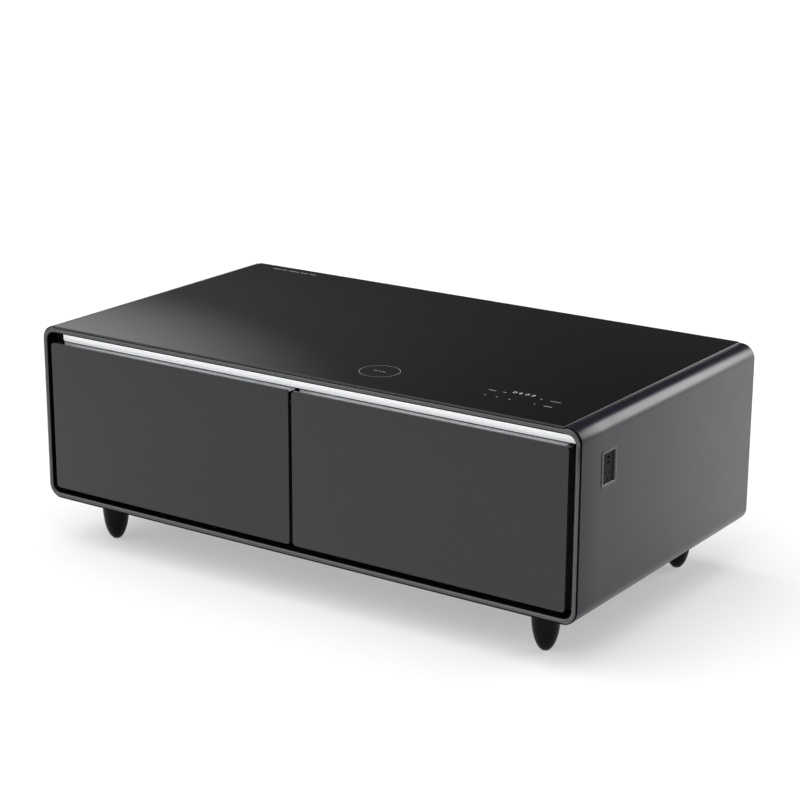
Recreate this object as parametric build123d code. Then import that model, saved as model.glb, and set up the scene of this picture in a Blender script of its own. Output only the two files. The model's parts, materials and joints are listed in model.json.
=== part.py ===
from build123d import *
import os

# A refrigerator coffee table: a rounded steel cabinet on four bullet feet, with two cooled drawers
# under a black glass top.
# Millimetres. +X runs along the length, the front looks towards -Y, +Z is up.
# The origin lies on the floor, under the middle of the cabinet.
# A depth is measured back from the front of the cabinet, a drop is measured down from its top.

# Cabinet casing
BODY_LENGTH = 1300.0
BODY_DEPTH = 710.0
BODY_HEIGHT = 380.0
BODY_LIFT = 98.0
BODY_RADIUS = 30.0
SHELL_WALL = 2.0
SHEET = 1.5
REAR_INSET = 3.0
REAR_FLANGE = 14.0

# Clearance of a fixed fit, gap of a sliding one, and the overrun of every cut
SNUG = 0.2
RUN = 0.3
CUT = 2.0

# Glass top and its bedding tape
GLASS_THICKNESS = 4.0
GLASS_PROUD = 2.0
GLASS_SIDE_MARGIN = 34.0
GLASS_JOINT = 0.5
GLASS_ARRIS = 0.8
BEDDING_THICKNESS = 1.0
BEDDING_WIDTH = 14.0
BEDDING_INSET = 6.0

# Front frame
FRAME_SIDE = 12.0
FRAME_BOTTOM = 13.0
FRAME_TOP = 10.0
FRAME_LIP = 3.0
FRAME_GROOVE = 1.5
FRAME_DEPTH = 16.0
FRAME_EDGE = 1.2
FRAME_INNER_RADIUS = 18.0

# Drawer fronts, doors and their gaskets
FRONT_SIDE_MARGIN = 24.0
FRONT_TOP_MARGIN = 35.0
FRONT_BOTTOM_MARGIN = 25.0
FRONT_CENTRE_GAP = 8.0
FRONT_THICKNESS = 5.0
FRONT_RADIUS = 8.0
FRONT_EDGE = 0.8
DOOR_DEPTH = 45.0
DOOR_INSET = 2.0
GASKET_DEPTH = 6.0
GASKET_WIDTH = 10.0
GASKET_INSET = 2.0
GASKET_RADIUS = 6.0

# Finger pocket above the drawers, its light, and the handle profile behind each drawer front
POCKET_DEPTH = 25.0
POCKET_END_MARGIN = 38.0
POCKET_CEILING_DROP = 12.0
HANDLE_FRONT_DROP = 36.0
HANDLE_LIP_DROP = 38.0
HANDLE_FLOOR_DROP = 62.0
HANDLE_WALL = 1.5
LIGHT_BOTTOM_DROP = 36.0
LIGHT_WALL = 1.5
DIFFUSER_THICKNESS = 2.5
LED_BOARD = 1.5
LED_BOARD_HEIGHT = 10.0
LED_SIZE = 3.0
LED_HEIGHT = 1.2
LED_COUNT = 24
TRIM_WALL = 2.0

# Cold box
SEAL_SHEET = 2.0
LINER_WALL = 2.0
CENTRE_BOARD = 50.0
SIDE_BOARD = 38.0
FLOOR_BOARD = 37.0
REAR_BOARD = 30.0
CEILING_DROP = 52.0

# Telescopic rails and drawer boxes
RAIL_HEIGHT = 45.0
RAIL_WIDTH = 12.7
RAIL_SHEET = 1.5
RAIL_LIFT = 32.0
RAIL_START = 60.0
RAIL_REAR_GAP = 35.0
RAIL_TAB = 34.0
BIN_WALL = 3.0
BIN_LIFT = 6.0
BIN_TOP_GAP = 16.0
BIN_REAR_GAP = 64.0
BIN_LIP = 5.0
BIN_RADIUS = 14.0
DIVIDER_THICKNESS = 3.0
DIVIDER_TOP_GAP = 40.0
DIVIDER_BEAD = 7.0

# Feet
FOOT_RADIUS = 29.0
FOOT_TIP_RADIUS = 7.0
FOOT_SIDE_MARGIN = 112.0
FOOT_END_MARGIN = 86.5
FOOT_BULGE_POWER = 2.7
FOOT_LEVEL_SHARES = (0.0, 0.03, 0.08, 0.16, 0.3, 0.5, 0.75, 1.0)
FOOT_PLATE = 2.0
STUD_RADIUS = 4.0
STUD_DEPTH = 30.0
STUD_RISE = 12.0
NUT_WIDTH = 13.0
NUT_HEIGHT = 6.5
NUT_SIDES = 6
NUT_POCKET_RADIUS = 10.0

# Rear panel, its vents and screws, and the cord gland
VENT_COUNT = 16
VENT_PITCH = 12.0
VENT_WIDTH = 3.5
VENT_LENGTH = 60.0
VENT_SIDE_MARGIN = 70.0
VENT_ROWS = 3
VENT_ROW_PITCH = 82.0
VENT_LIFT = 100.0
SCREW_RADIUS = 2.0
SCREW_HEAD_RADIUS = 3.8
SCREW_HEAD_HEIGHT = 1.8
SCREW_LENGTH = 9.0
SCREW_COUNT = 5
GLAND_RADIUS = 9.0
GLAND_FLANGE_RADIUS = 13.0
GLAND_FLANGE = 4.0
GLAND_REACH = 9.0
GLAND_BORE_RADIUS = 4.2
GLAND_SIDE_MARGIN = 120.0
GLAND_LIFT = 45.0

# Socket plate in the right side
SOCKET_LENGTH = 56.0
SOCKET_HEIGHT = 72.0
SOCKET_FRONT_MARGIN = 79.0
SOCKET_DROP = 61.0
SOCKET_PROUD = 1.2
SOCKET_OVERLAP = 2.0
SOCKET_RIM = 7.0
SOCKET_RECESS = 2.0
SOCKET_FACE = 4.0
SOCKET_BOX_DEPTH = 30.0
SOCKET_BOX_WALL = 2.0
OUTLET_DROP = 12.0
BLADE_WIDTH = 2.4
BLADE_HEIGHT = 8.0
BLADE_SPACING = 12.7
EARTH_RADIUS = 2.5
EARTH_DROP = 11.9
USB_WIDTH = 12.4
USB_HEIGHT = 4.8
USB_DEPTH = 2.4
USB_TONGUE = 1.8
USB_RISE = 14.0
USB_SPACING = 10.0

# Modules under the glass
CHARGER_OFFSET = 139.0
CHARGER_DEPTH = 108.0
COIL_OUTER_RADIUS = 26.0
COIL_INNER_RADIUS = 10.0
COIL_THICKNESS = 1.8
CHARGER_BOARD_RADIUS = 34.0
CHARGER_BOARD_THICKNESS = 4.0
TOUCH_SIDE_MARGIN = 185.0
TOUCH_DEPTH = 106.0
TOUCH_LENGTH = 190.0
TOUCH_WIDTH = 56.0
TOUCH_THICKNESS = 1.6
DISPLAY_LENGTH = 52.0
DISPLAY_WIDTH = 16.0
DISPLAY_HEIGHT = 5.0
WINDOW_MARGIN = 6.0
MODULE_POCKET = 12.0

# Fans
SMALL_FAN = 80.0
SMALL_FAN_DEPTH = 20.0
LARGE_FAN = 120.0
LARGE_FAN_DEPTH = 25.0
FAN_WALL = 3.0
FAN_HUB_SHARE = 0.17
FAN_CHORD_SHARE = 0.22
FAN_STATOR = 4.0
FAN_STRUT = 4.0
FAN_STRUT_COUNT = 3
FAN_BLADE = 1.4
FAN_BLADE_COUNT = 7
FAN_BLADE_ANGLE = 35.0
FAN_TIP_GAP = 1.0
SHAFT_RADIUS = 1.5
SHAFT_CLEARANCE = 0.05

# Evaporators and their covers
TUBE_RADIUS = 4.0
FIN_THICKNESS = 0.8
COVER_THICKNESS = 2.0
COVER_REAR_GAP = 8.5
EVAPORATOR_NEAR_GAP = 58.0
EVAPORATOR_FAN_GAP = 85.0
EVAPORATOR_DEPTH = 18.0
EVAPORATOR_ROWS = 6
EVAPORATOR_PITCH = 26.0
EVAPORATOR_FIN_COUNT = 24
EVAPORATOR_LIFT = 70.0
SMALL_FAN_SIDE_GAP = 98.0
SMALL_FAN_LIFT = 130.0
GRILLE_BAR = 3.0
GRILLE_PITCH = 9.0
RETURN_INSET = 10.0
RETURN_WIDTH = 5.0
RETURN_PITCH = 12.0
RETURN_COUNT = 5

# Machine room
PIPE_LANE = 14.5
COMPRESSOR_RADIUS = 63.0
COMPRESSOR_HEIGHT = 150.0
COMPRESSOR_DOME = 34.0
COMPRESSOR_SIDE_MARGIN = 190.0
BRACKET_LENGTH = 190.0
BRACKET_WIDTH = 120.0
BRACKET_SHEET = 2.0
STUB_WALL = 1.5
STUB_REACH = 16.0
STUB_SPREAD = 20.0
SUCTION_RISE = 110.0
DISCHARGE_RISE = 50.0
GROMMET_RADIUS = 10.0
GROMMET_HEIGHT = 14.0
GROMMET_MARGIN = 14.0
BOLT_RADIUS = 3.0
BOLT_HEAD_RADIUS = 6.0
BOLT_HEAD_HEIGHT = 4.0
RELAY_LENGTH = 34.0
RELAY_WIDTH = 46.0
RELAY_HEIGHT = 62.0
TRAY_LENGTH = 150.0
TRAY_WIDTH = 120.0
TRAY_HEIGHT = 26.0
TRAY_WALL = 2.0
CONDENSER_OFFSET = 300.0
CONDENSER_LENGTH = 112.0
CONDENSER_THICKNESS = 40.0
CONDENSER_ROWS = 9
CONDENSER_PITCH = 26.0
CONDENSER_FIN_COUNT = 18
CONDENSER_LIFT = 18.0
FAN_STAND = 2.0
CONTROL_LENGTH = 150.0
CONTROL_DEPTH = 70.0
CONTROL_LIFT = 60.0
CONTROL_DROP = 138.0
CONTROL_SIDE_MARGIN = 40.0
CONTROL_WALL = 2.0
BOARD_THICKNESS = 1.6
BOARD_INSET = 8.0
BOARD_POST_RADIUS = 3.0
BOARD_POST_HEIGHT = 8.0
TRANSFORMER_SIZE = 34.0
CAPACITOR_RADIUS = 9.0

# Pipes and cable inside
PIPE_RADIUS = 3.0
BRANCH_RADIUS = 2.5
PIPE_BEND = 14.0
PIPE_EXIT = 14.0
EXIT_BEND = 7.0
DOWN_OFFSET = 110.0
TEE_DROP = 49.0
CAPILLARY_RADIUS = 1.5
CAPILLARY_BRANCH_RADIUS = 1.2
CABLE_RADIUS = 4.0
CABLE_BEND = 20.0
CABLE_EXIT = 40.0
CABLE_RISE = 60.0

# Levels and planes that follow from the sizes
QUARTER_TURN = 90.0
FULL_TURN = 360.0
LEFT, RIGHT = -1, 1
SIDES = (LEFT, RIGHT)
HALF_LENGTH = BODY_LENGTH / 2
FRONT = -BODY_DEPTH / 2
REAR = BODY_DEPTH / 2
BODY_TOP = BODY_LIFT + BODY_HEIGHT
INSIDE_BOTTOM = BODY_LIFT + SHELL_WALL
GLASS_BOTTOM = BODY_TOP + GLASS_PROUD - GLASS_THICKNESS
GLASS_HALF = HALF_LENGTH - GLASS_SIDE_MARGIN
SEAT_HALF = GLASS_HALF + GLASS_JOINT
SEAT_LEVEL = GLASS_BOTTOM - BEDDING_THICKNESS
UNDERSIDE = SEAT_LEVEL - SHELL_WALL
SHELL_START = FRAME_LIP + FRAME_GROOVE
FRAME_INNER_HALF = HALF_LENGTH - FRAME_SIDE
FRAME_INNER_BOTTOM = BODY_LIFT + FRAME_BOTTOM
FRAME_INNER_TOP = BODY_TOP - FRAME_TOP
FRONT_NEAR = FRONT_CENTRE_GAP / 2
FRONT_FAR = HALF_LENGTH - FRONT_SIDE_MARGIN
FRONT_LOW = BODY_LIFT + FRONT_BOTTOM_MARGIN
FRONT_HIGH = BODY_TOP - FRONT_TOP_MARGIN
DOOR_NEAR = FRONT_NEAR + DOOR_INSET
DOOR_FAR = FRONT_FAR - DOOR_INSET
DOOR_LOW = FRONT_LOW + DOOR_INSET
HANDLE_FAR = HALF_LENGTH - POCKET_END_MARGIN
HANDLE_FLOOR = BODY_TOP - HANDLE_FLOOR_DROP
HANDLE_LIP = BODY_TOP - HANDLE_LIP_DROP
POCKET_CEILING = BODY_TOP - POCKET_CEILING_DROP
LIGHT_BOTTOM = BODY_TOP - LIGHT_BOTTOM_DROP
SEAL_DEPTH = DOOR_DEPTH + GASKET_DEPTH + RUN
BOARD_DEPTH = SEAL_DEPTH + SEAL_SHEET
PANEL_DEPTH = BODY_DEPTH - REAR_INSET
MACHINE_REAR = PANEL_DEPTH - 2 * SHEET
MACHINE_DEPTH = max(2 * COMPRESSOR_RADIUS, LARGE_FAN, CONDENSER_LENGTH) + 2 * PIPE_LANE
MACHINE_FRONT = MACHINE_REAR - MACHINE_DEPTH
MACHINE_CENTRE = MACHINE_FRONT + MACHINE_DEPTH / 2
BULKHEAD_DEPTH = MACHINE_FRONT - SHEET
COLD_REAR = BULKHEAD_DEPTH - REAR_BOARD - LINER_WALL
COLD_NEAR = CENTRE_BOARD / 2 + LINER_WALL
COLD_FAR = HALF_LENGTH - SHELL_WALL - SIDE_BOARD - LINER_WALL
COLD_FLOOR = INSIDE_BOTTOM + FLOOR_BOARD + LINER_WALL
COLD_CEILING = BODY_TOP - CEILING_DROP
RAIL_LEVEL = COLD_FLOOR + RAIL_LIFT
RAIL_REAR = COLD_REAR - RAIL_REAR_GAP
COVER_DEPTH = COLD_REAR - COVER_REAR_GAP - SMALL_FAN_DEPTH - COVER_THICKNESS
SMALL_FAN_X = COLD_FAR - SMALL_FAN_SIDE_GAP
EVAPORATOR_NEAR = COLD_NEAR + EVAPORATOR_NEAR_GAP
EVAPORATOR_LENGTH = SMALL_FAN_X - SMALL_FAN / 2 - EVAPORATOR_FAN_GAP - EVAPORATOR_NEAR
EVAPORATOR_X = EVAPORATOR_NEAR + EVAPORATOR_LENGTH / 2
EVAPORATOR_CENTRE = COLD_REAR - RUN - EVAPORATOR_DEPTH / 2
EVAPORATOR_LOW = COLD_FLOOR + EVAPORATOR_LIFT
EVAPORATOR_HIGH = EVAPORATOR_LOW + EVAPORATOR_PITCH * (EVAPORATOR_ROWS - 1)
EVAPORATOR_REACH = EVAPORATOR_LENGTH / 2
FRONT_LANE = MACHINE_FRONT + PIPE_LANE / 2
REAR_LANE = MACHINE_REAR - PIPE_LANE / 2
COMPRESSOR_X = COMPRESSOR_SIDE_MARGIN - HALF_LENGTH
COMPRESSOR_LOW = INSIDE_BOTTOM + GROMMET_HEIGHT
COMPRESSOR_HIGH = COMPRESSOR_LOW + COMPRESSOR_HEIGHT
STUB_END = COMPRESSOR_X + COMPRESSOR_RADIUS + STUB_REACH
CONDENSER_LOW = INSIDE_BOTTOM + CONDENSER_LIFT
CONDENSER_HIGH = CONDENSER_LOW + CONDENSER_PITCH * (CONDENSER_ROWS - 1)
CONTROL_X = HALF_LENGTH - CONTROL_SIDE_MARGIN - CONTROL_LENGTH / 2
CONTROL_LOW = INSIDE_BOTTOM + CONTROL_LIFT
CONTROL_HIGH = BODY_TOP - CONTROL_DROP
CONTROL_HEIGHT = CONTROL_HIGH - CONTROL_LOW
TOUCH_X = HALF_LENGTH - TOUCH_SIDE_MARGIN
SOCKET_MIDDLE_DEPTH = SOCKET_FRONT_MARGIN + SOCKET_LENGTH / 2
SOCKET_MIDDLE = BODY_TOP - SOCKET_DROP - SOCKET_HEIGHT / 2
SOCKET_FACE_REAR = HALF_LENGTH - SOCKET_RECESS - SOCKET_FACE
SOCKET_BOX_REAR = HALF_LENGTH - SHELL_WALL - SOCKET_BOX_DEPTH
GLAND_X = HALF_LENGTH - GLAND_SIDE_MARGIN
GLAND_Z = BODY_LIFT + GLAND_LIFT
FOOT_CROWN = BODY_LIFT - FOOT_PLATE
FOOT_X = HALF_LENGTH - FOOT_SIDE_MARGIN
FOOT_Y = REAR - FOOT_END_MARGIN
FOOT_SPOTS = [(sx * FOOT_X, sy * FOOT_Y) for sx in SIDES for sy in SIDES]


# Shapes that many pieces share


def back(depth):
    """Y of a plane that lies this deep behind the cabinet's front."""
    return FRONT + depth


def block(x_span, y_span, z_span):
    """A box between its low and high values along X, Y and Z."""
    size = [high - low for low, high in (x_span, y_span, z_span)]
    return Pos(x_span[0], y_span[0], z_span[0]) * Box(*size, align=(Align.MIN,) * 3)


def deep_block(x_span, depths, z_span):
    """A box whose Y values are given as depths behind the front."""
    return block(x_span, (back(depths[0]), back(depths[1])), z_span)


def side_span(side, near, far):
    """The X values of a piece that reaches from near to far on one side of the middle."""
    return tuple(sorted((side * near, side * far)))


def around(middle, width):
    """The low and high value of a width centred on its middle."""
    return (middle - width / 2, middle + width / 2)


def past(span):
    """A span with the overrun of a cut at both ends."""
    return (span[0] - CUT, span[1] + CUT)


def rounded_prism(x_span, depths, z_span, radius):
    """A prism along Y whose outline is a rectangle with rounded corners."""
    width, height = x_span[1] - x_span[0], z_span[1] - z_span[0]
    outline = extrude(RectangleRounded(width, height, radius), depths[1] - depths[0])
    middle = Pos(sum(x_span) / 2, back(depths[1]), sum(z_span) / 2)
    return middle * Rot(QUARTER_TURN, 0, 0) * outline


def post(radius, z_span, x=0, y=0):
    """A round post along Z."""
    height = z_span[1] - z_span[0]
    return Pos(x, y, z_span[0]) * Cylinder(radius, height, align=(Align.CENTER, Align.CENTER, Align.MIN))


def rod_y(radius, x, depths, z):
    """A round rod along Y, between two depths."""
    return Pos(x, back(depths[0]), z) * Rot(-QUARTER_TURN, 0, 0) * post(radius, (0, depths[1] - depths[0]))


def rod_x(radius, x_span, y, z):
    """A round rod along X."""
    return Pos(x_span[0], y, z) * Rot(0, QUARTER_TURN, 0) * post(radius, (0, x_span[1] - x_span[0]))


def pipe(points, radius, bends):
    """A round pipe along straight runs joined by tangent arcs; points give X, depth and Z."""
    placed = [(x, back(depth), z) for x, depth, z in points]
    path = FilletPolyline(*placed, radius=bends)
    return sweep(Plane(path @ 0, z_dir=path % 0) * Circle(radius), path=path)


def group(pieces):
    """Several separate solids kept as one sub-part."""
    return Compound(children=[solid for piece in pieces for solid in piece.solids()])


def body_form(depths, wall=0):
    """The cabinet's outline this far inside its surface, with the glass seat cut out of its top."""
    x_span = (wall - HALF_LENGTH, HALF_LENGTH - wall)
    form = rounded_prism(x_span, depths, (BODY_LIFT + wall, BODY_TOP - wall), BODY_RADIUS - wall)
    seat_z = (SEAT_LEVEL - wall, BODY_TOP + CUT)
    return form - deep_block((-SEAT_HALF - wall, SEAT_HALF + wall), past(depths), seat_z)


def inner_form(depths):
    """What fits inside the casing with its clearance, between two depths."""
    return body_form(depths, SHELL_WALL + SNUG)


# Cabinet


def rear_screw_spots():
    """Where the rear panel's screws stand, as X and Z pairs round its edge."""
    half = HALF_LENGTH - SHELL_WALL - REAR_FLANGE / 2
    low, high = INSIDE_BOTTOM + REAR_FLANGE / 2, UNDERSIDE - REAR_FLANGE / 2
    reach = half - BODY_RADIUS
    along = [reach * (2 * step / (SCREW_COUNT - 1) - 1) for step in range(SCREW_COUNT)]
    ends = [(side * half, (low + high) / 2) for side in SIDES]
    return [(x, z) for x in along for z in (low, high)] + ends


def module_windows(z_span):
    """The free space round the charging and touch modules, between two levels."""
    charger = post(CHARGER_BOARD_RADIUS + WINDOW_MARGIN, z_span, CHARGER_OFFSET, back(CHARGER_DEPTH))
    length, width = TOUCH_LENGTH + 2 * WINDOW_MARGIN, TOUCH_WIDTH + 2 * WINDOW_MARGIN
    return [charger, deep_block(around(TOUCH_X, length), around(TOUCH_DEPTH, width), z_span)]


def socket_form(x_span, inset):
    """The socket plate's outline in the right side, this far inside its edge."""
    depths = around(SOCKET_MIDDLE_DEPTH, SOCKET_LENGTH - 2 * inset)
    return deep_block(x_span, depths, around(SOCKET_MIDDLE, SOCKET_HEIGHT - 2 * inset))


def outer_shell():
    """The casing wrapped round top, sides and floor, with a flange for the rear panel."""
    depths = (SHELL_START, BODY_DEPTH)
    shell = body_form(depths) - body_form(past(depths), SHELL_WALL)
    flange_depths = (MACHINE_REAR, MACHINE_REAR + SHEET)
    wide = SHELL_WALL + REAR_FLANGE
    opening_z = (BODY_LIFT + wide, UNDERSIDE - REAR_FLANGE)
    corner = BODY_RADIUS - REAR_FLANGE
    opening = rounded_prism((wide - HALF_LENGTH, HALF_LENGTH - wide), past(flange_depths), opening_z, corner)
    shell += body_form(flange_depths, SHELL_WALL) - opening
    floor_cut = past((BODY_LIFT, INSIDE_BOTTOM))
    shell -= [post(STUD_RADIUS + SNUG, floor_cut, x, y) for x, y in FOOT_SPOTS]
    shell -= [rod_y(SCREW_RADIUS + SNUG, x, past(flange_depths), z) for x, z in rear_screw_spots()]
    shell -= module_windows(past((UNDERSIDE, SEAT_LEVEL)))
    return shell - socket_form(past((HALF_LENGTH - SHELL_WALL, HALF_LENGTH)), SOCKET_OVERLAP - SNUG)


def front_frame():
    """The rounded rim round both drawers, with a shadow groove between it and the casing."""
    lip = (0, FRAME_LIP)
    frame = body_form(lip) + deep_block((-SEAT_HALF, SEAT_HALF), lip, (UNDERSIDE, GLASS_BOTTOM))
    frame = fillet(frame.edges().filter_by_position(Axis.Y, FRONT, FRONT), FRAME_EDGE)
    frame += inner_form((FRAME_LIP / 2, FRAME_DEPTH))
    inner_x = (-FRAME_INNER_HALF, FRAME_INNER_HALF)
    inner_z = (FRAME_INNER_BOTTOM, FRAME_INNER_TOP)
    return frame - rounded_prism(inner_x, past((0, FRAME_DEPTH)), inner_z, FRAME_INNER_RADIUS)


def glass_top():
    """The glass plate with ground edges, flush with the front and the rear."""
    glass = block((-GLASS_HALF, GLASS_HALF), (FRONT, REAR), (GLASS_BOTTOM, GLASS_BOTTOM + GLASS_THICKNESS))
    return chamfer(glass.edges(), GLASS_ARRIS)


def glass_bedding():
    """The foam tape between the glass and its seat, as one closed ring."""
    half = SEAT_HALF - BEDDING_INSET
    depths = (SHELL_START + BEDDING_INSET, BODY_DEPTH - BEDDING_INSET)
    levels = (SEAT_LEVEL, GLASS_BOTTOM)
    inner_half = half - BEDDING_WIDTH
    inner_depths = (depths[0] + BEDDING_WIDTH, depths[1] - BEDDING_WIDTH)
    ring = deep_block((-half, half), depths, levels)
    return ring - deep_block((-inner_half, inner_half), inner_depths, past(levels))


def rear_panel():
    """The rear sheet with vent slots, screw holes and the hole of the cord gland."""
    depths = (PANEL_DEPTH - SHEET, PANEL_DEPTH)
    panel = inner_form(depths)
    panel -= [rod_y(SCREW_RADIUS + SNUG, x, past(depths), z) for x, z in rear_screw_spots()]
    panel -= rod_y(GLAND_RADIUS, GLAND_X, past(depths), GLAND_Z)
    slots = []
    for side in SIDES:
        for column in range(VENT_COUNT):
            middle = side * (HALF_LENGTH - VENT_SIDE_MARGIN - VENT_PITCH * column)
            for row in range(VENT_ROWS):
                low = BODY_LIFT + VENT_LIFT + VENT_ROW_PITCH * row
                slots.append(deep_block(around(middle, VENT_WIDTH), past(depths), (low, low + VENT_LENGTH)))
    return panel - slots


def rear_panel_screws():
    """Pan-head screws through the rear panel into the casing's flange."""
    screws = []
    for x, z in rear_screw_spots():
        head = rod_y(SCREW_HEAD_RADIUS, x, (PANEL_DEPTH, PANEL_DEPTH + SCREW_HEAD_HEIGHT), z)
        screws.append(head + rod_y(SCREW_RADIUS, x, (PANEL_DEPTH - SCREW_LENGTH, PANEL_DEPTH), z))
    return group(screws)


def cord_gland():
    """The bush in the rear panel where the mains cord comes out."""
    flange = (PANEL_DEPTH - SHEET - GLAND_FLANGE, PANEL_DEPTH - SHEET)
    whole = (flange[0] - GLAND_REACH, BODY_DEPTH)
    gland = rod_y(GLAND_FLANGE_RADIUS, GLAND_X, flange, GLAND_Z)
    gland += rod_y(GLAND_RADIUS - SNUG, GLAND_X, whole, GLAND_Z)
    return gland - rod_y(GLAND_BORE_RADIUS, GLAND_X, past(whole), GLAND_Z)


def throat_trims():
    """The dark strips that line the front throat: floor, sides, pocket ceiling and pocket ends."""
    depths = (FRAME_DEPTH, SEAL_DEPTH)
    inside = inner_form(depths)
    whole = (-FRAME_INNER_HALF, FRAME_INNER_HALF)
    strips = [deep_block(whole, depths, (FRAME_INNER_BOTTOM - TRIM_WALL, FRAME_INNER_BOTTOM))]
    strips.append(deep_block(whole, (FRAME_DEPTH, POCKET_DEPTH), (POCKET_CEILING, UNDERSIDE)))
    for side in SIDES:
        strip_x = side_span(side, FRAME_INNER_HALF, FRAME_INNER_HALF + TRIM_WALL)
        strips.append(deep_block(strip_x, depths, (FRAME_INNER_BOTTOM, UNDERSIDE)))
        end_x = side_span(side, HANDLE_FAR, FRAME_INNER_HALF)
        strips.append(deep_block(end_x, (POCKET_DEPTH, SEAL_DEPTH), (LIGHT_BOTTOM, UNDERSIDE)))
    return group([inside & strip for strip in strips])


def light_channel():
    """The profile that carries the light above both drawers."""
    span = (-HANDLE_FAR, HANDLE_FAR)
    channel = deep_block(span, (POCKET_DEPTH, SEAL_DEPTH), (LIGHT_BOTTOM, UNDERSIDE))
    hollow_z = (LIGHT_BOTTOM + LIGHT_WALL, POCKET_CEILING)
    return channel - deep_block(past(span), (POCKET_DEPTH - CUT, SEAL_DEPTH - LIGHT_WALL), hollow_z)


def light_diffuser():
    """The milky cover strip that closes the light profile."""
    depths = (POCKET_DEPTH, POCKET_DEPTH + DIFFUSER_THICKNESS)
    return deep_block((-HANDLE_FAR, HANDLE_FAR), depths, (LIGHT_BOTTOM + LIGHT_WALL, POCKET_CEILING))


def led_strip():
    """The strip of diodes on the rear wall of the light profile."""
    middle = (LIGHT_BOTTOM + LIGHT_WALL + POCKET_CEILING) / 2
    board = SEAL_DEPTH - LIGHT_WALL - LED_BOARD
    strip_z = around(middle, LED_BOARD_HEIGHT)
    strip = deep_block((-HANDLE_FAR, HANDLE_FAR), (board, board + LED_BOARD), strip_z)
    for step in range(LED_COUNT):
        x = HANDLE_FAR * ((2 * step + 1) / LED_COUNT - 1)
        strip += deep_block(around(x, LED_SIZE), (board - LED_HEIGHT, board), around(middle, LED_SIZE))
    return strip


# Cold box


def wall_holes(depths):
    """The passages of both evaporators' pipes through the cold box's rear wall."""
    holes = []
    for side in SIDES:
        x = side * EVAPORATOR_X - EVAPORATOR_REACH - PIPE_EXIT
        holes.append(rod_y(PIPE_RADIUS + SNUG, x, depths, EVAPORATOR_HIGH))
        holes.append(rod_y(CAPILLARY_RADIUS + SNUG, x, depths, EVAPORATOR_LOW))
    return holes


def cold_space(side, front_depth):
    """The free space of one cold compartment, from this depth to its rear wall."""
    span = side_span(side, COLD_NEAR, COLD_FAR)
    return deep_block(span, (front_depth, COLD_REAR), (COLD_FLOOR, COLD_CEILING))


def socket_side_boards(depths, levels):
    """The right side of the cold box as plain foam boards round the niche of the socket."""
    wall_x = (COLD_FAR + LINER_WALL, HALF_LENGTH)
    niche_depths = around(SOCKET_MIDDLE_DEPTH, SOCKET_LENGTH - 2 * (SOCKET_OVERLAP - SNUG))
    niche_z = around(SOCKET_MIDDLE, SOCKET_HEIGHT - 2 * (SOCKET_OVERLAP - SNUG))
    boards = [deep_block(wall_x, (depths[0], niche_depths[0]), levels)]
    boards.append(deep_block(wall_x, (niche_depths[1], depths[1]), levels))
    boards.append(deep_block(wall_x, niche_depths, (levels[0], niche_z[0])))
    boards.append(deep_block(wall_x, niche_depths, (niche_z[1], levels[1])))
    boards.append(deep_block((wall_x[0], SOCKET_BOX_REAR), niche_depths, niche_z))
    return [inner_form(depths) & board for board in boards]


def insulation_boards():
    """The foam boards of the cold box: floor, top, two sides, centre and rear."""
    depths = (BOARD_DEPTH, BULKHEAD_DEPTH)
    inside = inner_form(depths)
    whole = (-HALF_LENGTH, HALF_LENGTH)
    low, high, far = COLD_FLOOR - LINER_WALL, COLD_CEILING + LINER_WALL, COLD_FAR + LINER_WALL
    floor = inside & deep_block(whole, depths, (BODY_LIFT, low))
    nut_pocket = (BODY_LIFT, INSIDE_BOTTOM + STUD_RISE + SNUG)
    floor -= [post(NUT_POCKET_RADIUS, nut_pocket, x, y) for x, y in FOOT_SPOTS]
    top = inside & deep_block(whole, depths, (high, BODY_TOP))
    top -= module_windows((UNDERSIDE - MODULE_POCKET, BODY_TOP))
    left = inside & deep_block(side_span(LEFT, far, HALF_LENGTH), depths, (low, high))
    right = socket_side_boards(depths, (low, high))
    behind = COLD_REAR + LINER_WALL
    centre = deep_block(around(0, CENTRE_BOARD), (BOARD_DEPTH, behind), (low, high))
    rear = deep_block((-far, far), (behind, BULKHEAD_DEPTH), (low, high))
    return group([floor, top, left, *right, centre, rear - wall_holes(past(depths))])


def bulkhead():
    """The sheet between the cold box and the machine room."""
    depths = (BULKHEAD_DEPTH, MACHINE_FRONT)
    return inner_form(depths) - wall_holes(past(depths))


def compartment_liners():
    """The two thin tubs that line the cold compartments."""
    tub_z = (COLD_FLOOR - LINER_WALL, COLD_CEILING + LINER_WALL)
    depths = (BOARD_DEPTH, COLD_REAR + LINER_WALL)
    tubs = []
    for side in SIDES:
        tub = deep_block(side_span(side, COLD_NEAR - LINER_WALL, COLD_FAR + LINER_WALL), depths, tub_z)
        tubs.append(tub - cold_space(side, BOARD_DEPTH - CUT) - wall_holes(past(depths)))
    return group(tubs)


def seal_frame():
    """The flat sheet round both compartments that the gaskets close against."""
    return inner_form((SEAL_DEPTH, BOARD_DEPTH)) - [cold_space(side, SEAL_DEPTH - CUT) for side in SIDES]


# Telescopic rails


def rail_walls(side):
    """Both walls of one compartment: their X, and the way from the wall to the drawer box."""
    return [(side * COLD_NEAR, side), (side * COLD_FAR, -side)]


def rail_member(wall, inward, step, depths, mouth, far):
    """A C-shaped rail member, nested this many steps deep; mouth is the way its open side looks."""
    nest = step * (RAIL_SHEET + RUN)
    low_x, high_x = sorted((wall + inward * nest, wall + inward * far))
    half = RAIL_HEIGHT / 2 - nest
    member = deep_block((low_x, high_x), depths, around(RAIL_LEVEL, 2 * half))
    hollow_x = (low_x + RAIL_SHEET, high_x + CUT) if mouth > 0 else (low_x - CUT, high_x - RAIL_SHEET)
    return member - deep_block(hollow_x, past(depths), around(RAIL_LEVEL, 2 * (half - RAIL_SHEET)))


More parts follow.
